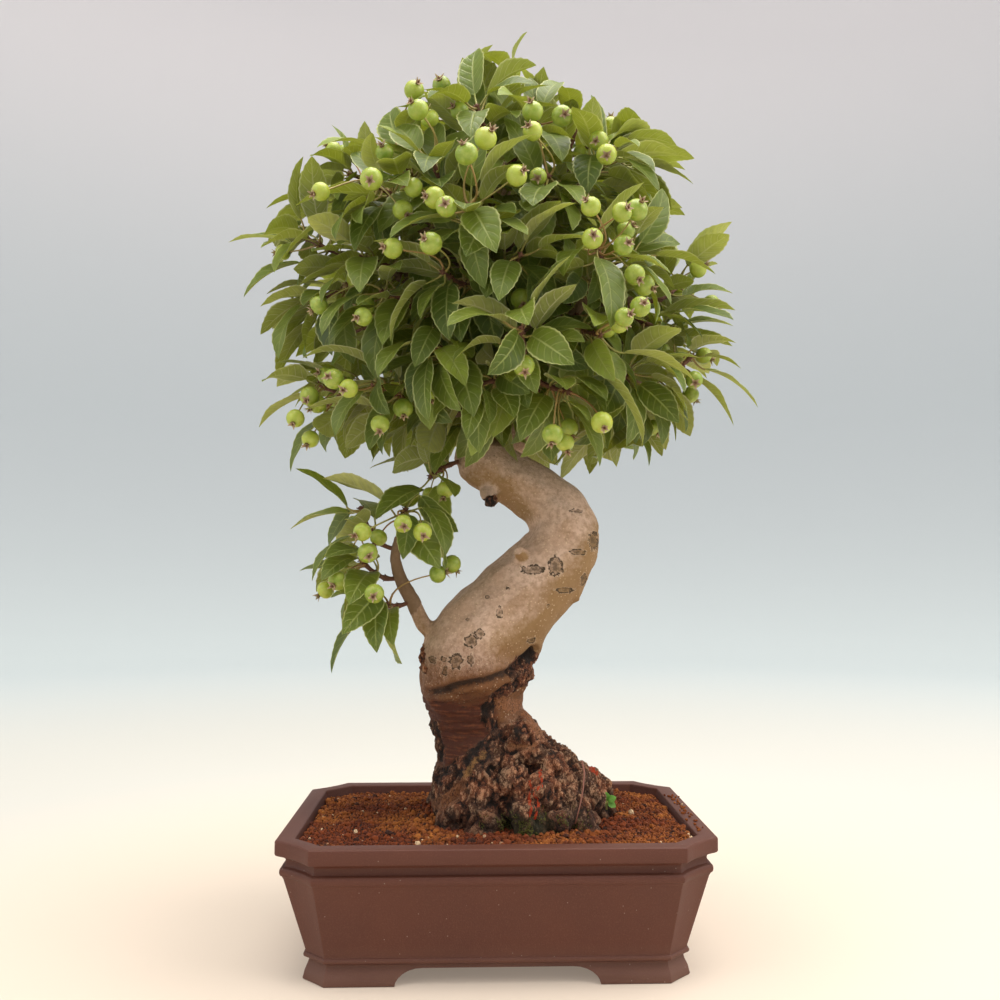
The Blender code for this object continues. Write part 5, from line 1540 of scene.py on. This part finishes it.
def grow_blade(bm, marks, leaf, draw):
    """A closed, toothed and folded blade on the arc of the layout."""
    grid = bmesh.ops.create_grid(bm, x_segments=2, y_segments=STATIONS, size=1)["verts"]
    tone, wave, twist = leaf["tone"], draw.uniform(0, math.tau), draw.uniform(-0.3, 0.3)
    for vert in grid:
        vert[marks["across"]] = vert.co.x
        vert[marks["along"]] = (vert.co.y + 1) / 2
        vert[marks["tone"]] = tone
    sheet = list({face for vert in grid for face in vert.link_faces})
    top = bmesh.ops.extrude_face_region(bm, geom=sheet)["geom"]
    top = {item for item in top if isinstance(item, bmesh.types.BMVert)}
    for vert in list(top) + grid:
        across, along = vert[marks["across"]], vert[marks["along"]]
        tooth = round(along * STATIONS) % 2 == 1 and 0.1 < along < 0.94
        share = min(along + 0.012 * tooth * abs(across), 1)
        half = leaf["width"] / 2 * blade_width(along) * (1 + 0.05 * tooth * (abs(across) > 0.9))
        point, ahead, normal = leaf_point(leaf, share)
        turned = Matrix.Rotation(twist * along, 3, ahead)
        side, normal = turned @ normal.cross(ahead), turned @ normal
        fold = leaf["fold"] * (1.15 - 0.45 * abs(across))
        ripple = 0.07 * half * across ** 2 * math.sin(along * 11 + wave + across)
        thick = BLADE_THICK * (1 - across ** 2) * min(1, 6 * along, 6 * (1 - along))
        lift = thick * (0.5 if vert in top else -0.5)
        vert.co = (point + side * half * across * math.cos(fold)
                   + normal * (half * abs(across) * math.sin(fold) + ripple + lift))
        vert[marks["keel"]] = float(across == 0)
    corners = set(grid) | top
    for face in {face for vert in corners for face in vert.link_faces}:
        face.material_index = LEAF_UPPER if all(v in top for v in face.verts) else LEAF_UNDER
    for edge in {edge for vert in corners for edge in vert.link_edges}:
        edge.smooth = not all(v[marks["keel"]] and v in corners for v in edge.verts)
    bmesh.ops.remove_doubles(bm, verts=list(corners), dist=0.04)

# %% [markdown]
# ### Stalks, twigs and apples
#
# A stalk is a slim tube on a soft curve, thicker where it leaves the twig. An apple is a
# sphere, a little flattened, dimpled where its stalk and its dried flower sit. That
# flower, the calyx, is five brown sepals, bent outwards, round a tuft of withered stamens.

# %% Shape a stalk
def soft_curve(start, leave, end, arrive, steps):
    """Points from start to end that leave and arrive in the given directions."""
    reach = (end - start).length * 0.38
    a, b = start + leave * reach, end - arrive * reach
    points = []
    for step in range(steps + 1):
        t = step / steps
        points.append(start * (1 - t) ** 3 + a * 3 * t * (1 - t) ** 2 + b * 3 * t * t * (1 - t)
                      + end * t ** 3)
    return points


def grow_stalk(bm, marks, points, thick, thin, tone, finish):
    """A six-sided tube along the points, swollen at its foot."""
    last = len(points) - 1
    path = [(*point, thin + (thick - thin) * (1 - i / last) ** 3) for i, point in enumerate(points)]
    for level, ring in enumerate(skin(bm, tube_rings(path, 6))):
        give_finish(ring, finish)
        for vert in ring:
            vert[marks["along"]] = level / last
            vert[marks["tone"]] = tone

# %% Shape an apple with its calyx
def grow_apple(bm, marks, fruit, draw):
    """The body, the star and the stamens, turned to the stalk's direction."""
    radius, tone = fruit["radius"], draw.random()
    place = stand(fruit["middle"], fruit["axis"])
    body = bmesh.ops.create_uvsphere(bm, u_segments=14, v_segments=9, radius=1)["verts"]
    give_finish(body, APPLE)
    for vert in body:
        height, turn = vert.co.z, math.atan2(vert.co.y, vert.co.x)
        angle = math.acos(min(max(height, -1), 1))
        ribs = 1 + 0.02 * math.cos(5 * turn) * smooth_step(1.4, 0.3, angle)
        dimple = 0.16 * math.exp(-((math.pi - angle) / 0.3) ** 2) + 0.1 * math.exp(-(angle / 0.3) ** 2)
        shape = Vector((vert.co.x * ribs, vert.co.y * ribs, height * (0.95 - dimple)))
        vert.co = place @ (shape * radius)
        vert[marks["along"]] = angle / math.pi
        vert[marks["tone"]] = tone
    calyx = place @ Matrix.Translation((0, 0, radius * 0.86))
    for number in range(10):
        sepal = number % 2 == 0
        turn = Matrix.Rotation(math.tau * number / 10 + draw.uniform(-0.2, 0.2), 4, "Z")
        lean = Matrix.Rotation(draw.uniform(0.55, 1.2) if sepal else draw.uniform(0.05, 0.4), 4, "X")
        long = draw.uniform(4, 5.4) if sepal else draw.uniform(2.2, 3.6)
        slim = Matrix.Diagonal((1, 0.4, 1, 1)) if sepal else Matrix.Identity(4)
        upright = turn @ lean @ Matrix.Translation((0, 0, long / 2)) @ slim
        made = bmesh.ops.create_cone(bm, cap_ends=True, segments=4 if sepal else 3, depth=long, radius2=0.2,
                                     radius1=1.7 if sepal else 0.4, matrix=calyx @ upright)["verts"]
        give_finish(made, CALYX)
        for vert in made:
            outer = (vert.co - calyx.translation).length > long * 0.6
            vert[marks["along"]] = float(sepal and outer)
            vert[marks["tone"]] = draw.random()

# %% [markdown]
# ### Leaf green, apple green and stalk
#
# The upper side of a leaf has a thin wax, so it is dark and shines softly with the sky.
# The under side is downy, dull and yellower, with raised veins, and its colours are made
# paler still as painted light that stands in for light shining through the blade. Light
# that comes through a blade is yellow green, so each side lets some through. The veins
# are drawn from the two attributes: one line down the middle, and pairs that lean forward
# from it.

# %% The veins of a blade, for either side
VEIN_PAIRS = 7                # side veins along a blade; the last pair is lost in the tip


def vein_pattern(tree):
    """How far a point is on a vein, and on the rim's painted highlight; the leaf's tone; the swell between
    veins.
    """
    along, across, tone = [add_node(tree, "Attribute", output="Fac", attribute_name=name)
                           for name in ("along", "across", "tone")]
    away = add_node(tree, "Math", {0: across}, operation="ABSOLUTE")
    bowed = add_node(tree, "Math", {0: away, 1: 1.3}, operation="POWER")
    lean = add_node(tree, "Math", {0: bowed, 1: -1.35}, operation="MULTIPLY")
    phase = add_node(tree, "Math", {0: along, 1: VEIN_PAIRS, 2: lean}, operation="MULTIPLY_ADD")
    left = add_node(tree, "Math", {0: across, 1: 0}, operation="GREATER_THAN")
    shifted = add_node(tree, "Math", {0: left, 1: 0.42, 2: phase}, operation="MULTIPLY_ADD")
    saw = add_node(tree, "Math", {0: shifted, 1: 0.5}, operation="PINGPONG")
    # The last range below is a painted highlight: a pale band along the rim
    midrib, side, inside, painted_rim_highlight = [
        add_node(tree, "MapRange", {0: source, 1: low, 2: high, 3: least, 4: most})
        for source, low, high, least, most in ((away, 0.03, 0.085, 1, 0), (saw, 0.01, 0.09, 0.9, 0),
                                               (away, 0.7, 0.95, 1, 0), (away, 0.87, 0.95, 0, 0.8))]
    side = add_node(tree, "Math", {0: side, 1: inside}, operation="MULTIPLY")
    return add_node(tree, "Math", {0: midrib, 1: side}, operation="MAXIMUM"), painted_rim_highlight, tone, saw

# %% Materials of both sides of a leaf
LIGHT_THROUGH = 0.42          # share of the light that shines through a blade


def leaf_material(name, roughness, old_hex, young_hex, vein_hex, rim_highlight_hex, through_hex, vein_depth):
    """A waxy or downy side that also lets some light through."""
    finish, tree, mm = start_material(name, Roughness=roughness)
    vein, painted_rim_highlight, tone, saw = vein_pattern(tree)
    mottle = add_node(tree, "TexNoise", {"Vector": mm, "Scale": 1 / 6, "Detail": 4})
    mottled = add_node(tree, "MapRange", {0: mottle, 1: 0.3, 2: 0.7, 3: 0.82, 4: 1.16})
    # Painted shading: the colour is brighter on the swell between veins and darker at the veins
    painted_swell_shading = add_node(tree, "MapRange", {0: saw, 2: 0.5, 3: 0.9, 4: 1.08})
    mottle_and_swell_shading = add_node(tree, "Math", {0: mottled, 1: painted_swell_shading}, operation="MULTIPLY")
    aged = add_node(tree, "Mix", {FACTOR: tone, A: old_hex, B: young_hex}, data_type="RGBA")
    blade = add_node(tree, "VectorMath", {0: aged, "Scale": mottle_and_swell_shading}, operation="SCALE")
    vein_share = add_node(tree, "Math", {0: vein, 1: 0.85}, operation="MULTIPLY")
    # The rim colour is a painted highlight
    for upper, amount in ((vein_hex, vein_share), (rim_highlight_hex, painted_rim_highlight)):
        blade = add_node(tree, "Mix", {FACTOR: amount, A: blade, B: upper}, data_type="RGBA")
    dress(tree, blade, add_node(tree, "Math", {0: vein, 1: vein_depth, 2: saw}, operation="MULTIPLY_ADD"))
    through = add_node(tree, "BsdfTranslucent", {"Color": through_hex})
    shader = tree.nodes["Principled BSDF"].outputs[0]
    both = add_node(tree, "MixShader", {0: LIGHT_THROUGH, 1: shader, 2: through})
    tree.links.new(both, tree.nodes["Material Output"].inputs["Surface"])
    return finish


# The fourth colour of each side is the painted highlight along the rim
leaf_upper = leaf_material("leaf_wax_side", 0.42, "334f1b", "97a943", "aeb66e", "d6d696", "dfe6a4", -0.8)
# The under side's colours are made pale as painted light, standing in for light shining through the blade
leaf_under = leaf_material("leaf_downy_side", 0.72, "9ca35a", "d8d688", "dcdaa6", "e8e4bc", "c2c64a", 0.9)
print("leaf materials:", leaf_upper.name, leaf_under.name)

# %% Materials of stalks, twigs, apples and calyxes
fresh_stalk, tree, mm = start_material("fresh_stalk", Roughness=0.5)
colour = "8e8544"
for tone, mark in (("a6aa58", "along"), ("a87a4e", "tone")):
    amount = add_node(tree, "Attribute", output="Fac", attribute_name=mark)
    colour = add_node(tree, "Mix", {FACTOR: amount, A: colour, B: tone}, data_type="RGBA")
dress(tree, colour)

twig_bark, tree, mm = start_material("twig_bark", Roughness=0.75)
scaly = add_node(tree, "TexNoise", {"Vector": mm, "Scale": 1 / 2, "Detail": 4})
dress(tree, add_node(tree, "Mix", {FACTOR: scaly, A: "3d2018", B: "8a5c44"}, data_type="RGBA"), scaly, 0.6)

apple_skin, tree, mm = start_material("crab_apple_skin", Roughness=0.38, Subsurface_Weight=0.12,
                                      Subsurface_Scale=0.002)
along = add_node(tree, "Attribute", output="Fac", attribute_name="along")
own_tone = add_node(tree, "Attribute", output="Fac", attribute_name="tone")
cloudy = add_node(tree, "TexNoise", {"Vector": mm, "Scale": 1 / 4, "Detail": 3})
pores = add_node(tree, "TexVoronoi", {"Vector": mm, "Scale": 1 / 1.8})
colour = add_node(tree, "Mix", {FACTOR: own_tone, A: "82982e", B: "afbb40"}, data_type="RGBA")
for tone, source, low, high, least, most in (("c6cc66", cloudy, 0.35, 0.7, 0, 0.5),
                                             ("dadba2", pores, 0.06, 0.11, 0.5, 0),
                                             ("5f7a2c", along, 0.9, 0.99, 0, 0.6)):
    amount = add_node(tree, "MapRange", {0: source, 1: low, 2: high, 3: least, 4: most})
    colour = add_node(tree, "Mix", {FACTOR: amount, A: colour, B: tone}, data_type="RGBA")
dress(tree, colour)

dried_calyx, tree, mm = start_material("dried_calyx", Roughness=0.85)
withered = add_node(tree, "TexNoise", {"Vector": mm, "Scale": 1 / 1.2, "Detail": 3})
along = add_node(tree, "Attribute", output="Fac", attribute_name="along")
downy = add_node(tree, "Math", {0: along, 1: 0.75}, operation="MULTIPLY")
colour = "55301f"
for tone, amount in (("946a4c", withered), ("d2c096", downy)):
    colour = add_node(tree, "Mix", {FACTOR: amount, A: colour, B: tone}, data_type="RGBA")
dress(tree, colour)
spray_finishes = [leaf_upper, leaf_under, fresh_stalk, twig_bark, apple_skin, dried_calyx]
print("spray materials:", [finish.name for finish in spray_finishes])

# %% [markdown]
# ### Growing the sprays
#
# Each spray is one piece, because its leaves, stalks and apples are one living shoot. Its
# twig starts inside the branch, so that no gap shows, and swells where leaves leave it,
# with a few dark bud scales round each swelling.

# %% Twigs with bud scales
def twig_path(spray, steps=14):
    """The twig's middle line, from inside its branch to its tip, with its radius."""
    reach = (spray["end"] - spray["start"]).length
    path = [(*(spray["start"] - spray["normal"] * 3), 2.1)]
    for share in (step / steps for step in range(steps + 1)):
        near = min(abs(share - place) * reach for place in spray["clusters"] + EXTRA_SHARES)
        path.append((*twig_point(spray, share)[0], twig_radius(share) + 0.7 * math.exp(-(near / 2.6) ** 2)))
    tip, along = twig_point(spray, 1)
    return path + [(*(tip + along * 1.4), 0.6)]


def add_scales(bm, point, along, draw):
    """Bud scales: small dark cones that lie round a swelling."""
    across = along.orthogonal().normalized()
    for number in range(5):
        out = Matrix.Rotation(math.tau * number / 5 + draw.uniform(-0.3, 0.3), 3, along) @ across
        lean = (out * 0.8 + along * draw.uniform(0.3, 0.9)).normalized()
        give_finish(bmesh.ops.create_cone(bm, cap_ends=True, segments=4, radius1=1, radius2=0.2,
                                          depth=draw.uniform(2.2, 3.4),
                                          matrix=stand(point + out * 1.6, lean))["verts"], TWIG)

# %% Grow each spray
def leaf_marks(bm):
    """What the leafy materials read: places across and along, a tone, and the keel of a blade."""
    return {name: bm.verts.layers.float.new(name) for name in ("across", "along", "tone", "keel")}


def grow_slots(bm, marks, slots, draw):
    """The leaves and apples on the places of a spray or spur."""
    for slot in slots:
        growth = slot.get("growth")
        foot = slot["middle"] - slot["out"] * 1.2
        if slot.get("kind") == "leaf":
            # Leaves grow lighter towards the crown's top: more of them are young, and the older ones are
            # lifted in tone as painted light on the top of the crown
            height = smooth_step(430, 640, growth["base"].z)
            young = draw.random() < 0.08 + 0.2 * height
            growth["tone"] = draw.uniform(0.65, 1) if young else draw.uniform(0, 0.45) + 0.12 * height
            into = growth["base"] + growth["ahead"] * 1.5
            points = soft_curve(foot, slot["out"], into, growth["ahead"], 6)
            grow_stalk(bm, marks, points, 1.15, 0.62, draw.uniform(0, 0.55), STALK)
            grow_blade(bm, marks, growth, draw)
        elif slot.get("kind") == "fruit":
            into = growth["middle"] - growth["axis"] * growth["radius"] * 0.8
            leave = (growth["knee"] - growth["root"]).normalized()
            points = soft_curve(foot, leave, into, growth["axis"], 8)
            grow_stalk(bm, marks, points, 1, 0.55, draw.uniform(0.2, 1), STALK)
            grow_apple(bm, marks, growth, draw)


triangles = 0
for spray in sprays:
    shoot = bmesh.new()
    marks = leaf_marks(shoot)
    draw = random.Random(spray["name"])
    for ring in skin(shoot, tube_rings(twig_path(spray), 8, 0.12)):
        give_finish(ring, TWIG)
    for share in spray["clusters"] + EXTRA_SHARES:
        add_scales(shoot, *twig_point(spray, share), draw)
    grow_slots(shoot, marks, spray["slots"], draw)
    triangles += sum(len(face.verts) - 2 for face in shoot.faces)
    hand_over(spray["name"] + "_shoot", shoot, spray_finishes, [spray["name"]], SHARP_RIM)
print("sprays:", len(sprays), "triangles:", triangles)

# %% Grow the spurs
spur_mesh = bmesh.new()
for number, spur in enumerate(spurs):
    one = bmesh.new()
    grow_slots(one, leaf_marks(one), spur["slots"], random.Random(number))
    join(spur_mesh, one)
print("spurs:", len(spurs), "triangles:", sum(len(face.verts) - 2 for face in spur_mesh.faces))
hand_over("inner_leaves", spur_mesh, spray_finishes, (), SHARP_RIM)

# %% [markdown]
# ## Small growth at the foot
#
# Moss has settled where the burr meets the soil, a seedling weed stands at its right, and
# one thin pink root sucker lies against it.

# %% Moss
MOSS_TRIES = 1600

moss_green, tree, mm = start_material("moss", Roughness=0.9)
tufts = add_node(tree, "TexNoise", {"Vector": mm, "Scale": 1 / 2.5, "Detail": 3})
dress(tree, add_node(tree, "Mix", {FACTOR: tufts, A: "44441e", B: "969648"}, data_type="RGBA"))

draw = random.Random(SEED + 1)
moss_mesh = bmesh.new()
for _ in range(MOSS_TRIES):
    aim = Vector((draw.uniform(-6, 52), -90, 84 + abs(draw.gauss(0, 7))))
    towards = Vector((draw.uniform(-0.3, 0.3), 1, -0.05)).normalized()
    hit, normal, _, _ = trunk_search.ray_cast(aim, towards)
    if hit is None or hit.y > -22 or noise.noise(hit * 0.14) < 0.02:
        continue
    lean = (normal + Vector((0, 0, 0.9))).normalized()
    long = draw.uniform(0.7, 1.5)
    bmesh.ops.create_cone(moss_mesh, cap_ends=True, segments=3, radius1=0.45, radius2=0.1, depth=long,
                          matrix=stand(hit + normal * long * 0.3, lean))
print("moss leaves:", len(moss_mesh.verts) // 6)
hand_over("moss", moss_mesh, [moss_green])

# %% Weed and sucker
weed_mesh = bmesh.new()
marks = leaf_marks(weed_mesh)
foot = Vector((76, -24, 93))
for turn, rise, long in ((0.4, 0.75, 6.5), (1.6, 0.5, 6), (2.9, 0.85, 7), (4.1, 0.55, 6.5), (5.3, 0.7, 6)):
    ahead = Vector((math.cos(turn), -0.4 * rise, 0.7 * math.sin(turn) + 0.4)).normalized()
    base = foot + Vector((0, 0, 5)) + ahead * 1.2
    normal = Vector((0, -0.8, 0.6))
    normal = (normal - ahead * normal.dot(ahead)).normalized()
    leaflet = {"base": base, "ahead": ahead, "normal": normal, "length": long, "curl": 0.5,
               "width": long * 0.85, "fold": 0.2, "tone": 1}
    grow_stalk(weed_mesh, marks, soft_curve(foot, Vector((0, 0, 1)), base, ahead, 5), 0.6, 0.45, 0, STALK)
    grow_blade(weed_mesh, marks, leaflet, draw)
# Its fourth colour is the painted highlight along the rim
weed_leaf = leaf_material("seedling_leaf", 0.45, "5f9230", "78b040", "8fc45c", "8fc45c", "7cc03a", -0.4)
hand_over("weed", weed_mesh, [weed_leaf, weed_leaf, fresh_stalk], (), SHARP_RIM)

SUCKER = ((58, -36, 128), (58.5, -45, 122), (57, -50, 112), (54.5, -54, 103), (51, -58, 92))
sucker_mesh = bmesh.new()
grow_stalk(sucker_mesh, leaf_marks(sucker_mesh), [Vector(p) for p in SUCKER], 0.7, 0.45, 1, 0)
sucker_skin = start_material("root_sucker_skin", Roughness=0.6, Base_Color=linear("8e5a48"))[0]
hand_over("root_sucker", sucker_mesh, [sucker_skin])
print("weed and sucker stand")

# %% [markdown]
# ## Studio
#
# The stage is a plain pale bowl: a floor that curves up into a wall all round, so that
# every view has the same calm ground. It is cream at the floor and cooler above, as soft
# paper looks in a studio. One large soft light hangs above, two weaker ones fill from
# the sides, and the world adds an even sky.

# %% The stage
FLOOR_REACH, COVE, WALL_TOP = 2.2, 1.1, 3.2

paper, tree, mm = start_material("backdrop_paper", Roughness=0.95, Emission_Strength=0.35)
away = add_node(tree, "VectorMath", {0: mm}, operation="LENGTH")
sheet = "c9bbab"
for tone, near, far in (("bab8b0", 300, 700), ("c4cbca", 700, 2300), ("aeb2b4", 2300, 3500),
                        ("dbd5d5", 3350, 4150)):
    amount = add_node(tree, "MapRange", {0: away, 1: near, 2: far}, interpolation_type="SMOOTHSTEP")
    sheet = add_node(tree, "Mix", {FACTOR: amount, A: sheet, B: tone}, data_type="RGBA")
dress(tree, sheet)
tree.links.new(sheet, tree.nodes["Principled BSDF"].inputs["Emission Color"])

stage_mesh = bmesh.new()
edge = [stage_mesh.verts.new((0, 0, 0)), stage_mesh.verts.new((FLOOR_REACH, 0, 0))]
for step in range(1, 13):
    turn = math.radians(step * 7.5)
    edge.append(stage_mesh.verts.new((FLOOR_REACH + COVE * math.sin(turn), 0, COVE * (1 - math.cos(turn)))))
edge.append(stage_mesh.verts.new((FLOOR_REACH + COVE, 0, WALL_TOP)))
lines = [stage_mesh.edges.new(pair) for pair in zip(edge, edge[1:])]
bmesh.ops.spin(stage_mesh, geom=edge + lines, cent=(0, 0, 0), axis=(0, 0, 1), angle=math.tau, steps=64,
               use_merge=True)
bmesh.ops.remove_doubles(stage_mesh, verts=stage_mesh.verts, dist=1e-5)
bmesh.ops.recalc_face_normals(stage_mesh, faces=stage_mesh.faces)
bmesh.ops.reverse_faces(stage_mesh, faces=stage_mesh.faces)
mesh = mesh_of("stage", stage_mesh)
mesh.shade_smooth()
mesh.materials.append(paper)
stage = put_in_scene("stage", mesh)
stage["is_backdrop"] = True
print("stage faces:", len(mesh.polygons))

# %% Lights and sky
def soft_light(name, place, size, power, hex_value):
    """A square light that looks at the middle of the tree."""
    lamp = bpy.data.lights.new(name, "AREA")
    lamp.size = size
    lamp.energy = power
    lamp.color = linear(hex_value)[:3]
    holder = put_in_scene(name, lamp)
    holder.location = place
    aim = Vector((0, 0, 0.33)) - Vector(place)
    holder.rotation_euler = aim.to_track_quat("-Z", "Y").to_euler()


soft_light("top", (0.2, -0.1, 2.3), 1.8, 66, "fffaf4")
soft_light("right", (1.5, -0.5, 1.4), 1.4, 21, "fffaf4")
soft_light("left", (-1.5, -0.7, 1.4), 1.4, 12, "fffcfa")
sky = bpy.data.worlds.new("sky")
bpy.context.scene.world = sky
sky.use_nodes = True
sky.node_tree.nodes["Background"].inputs["Color"].default_value = linear("e6ecf2")
sky.node_tree.nodes["Background"].inputs["Strength"].default_value = 0.42
bpy.context.scene.view_settings.view_transform = "Standard"

# %% [markdown]
# ## Compare with the solids
#
# The finished tree must stay as large as its solids, so the sizes of both are printed.

# %% Both boxes and their sizes
low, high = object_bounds()
{"cad": [list(cad_low), list(cad_high)], "visual": [list(low), list(high)]}
print("size of the solids in mm:", [round(v / MM, 1) for v in cad_high - cad_low])
print("size of the pieces in mm:", [round(v / MM, 1) for v in high - low])
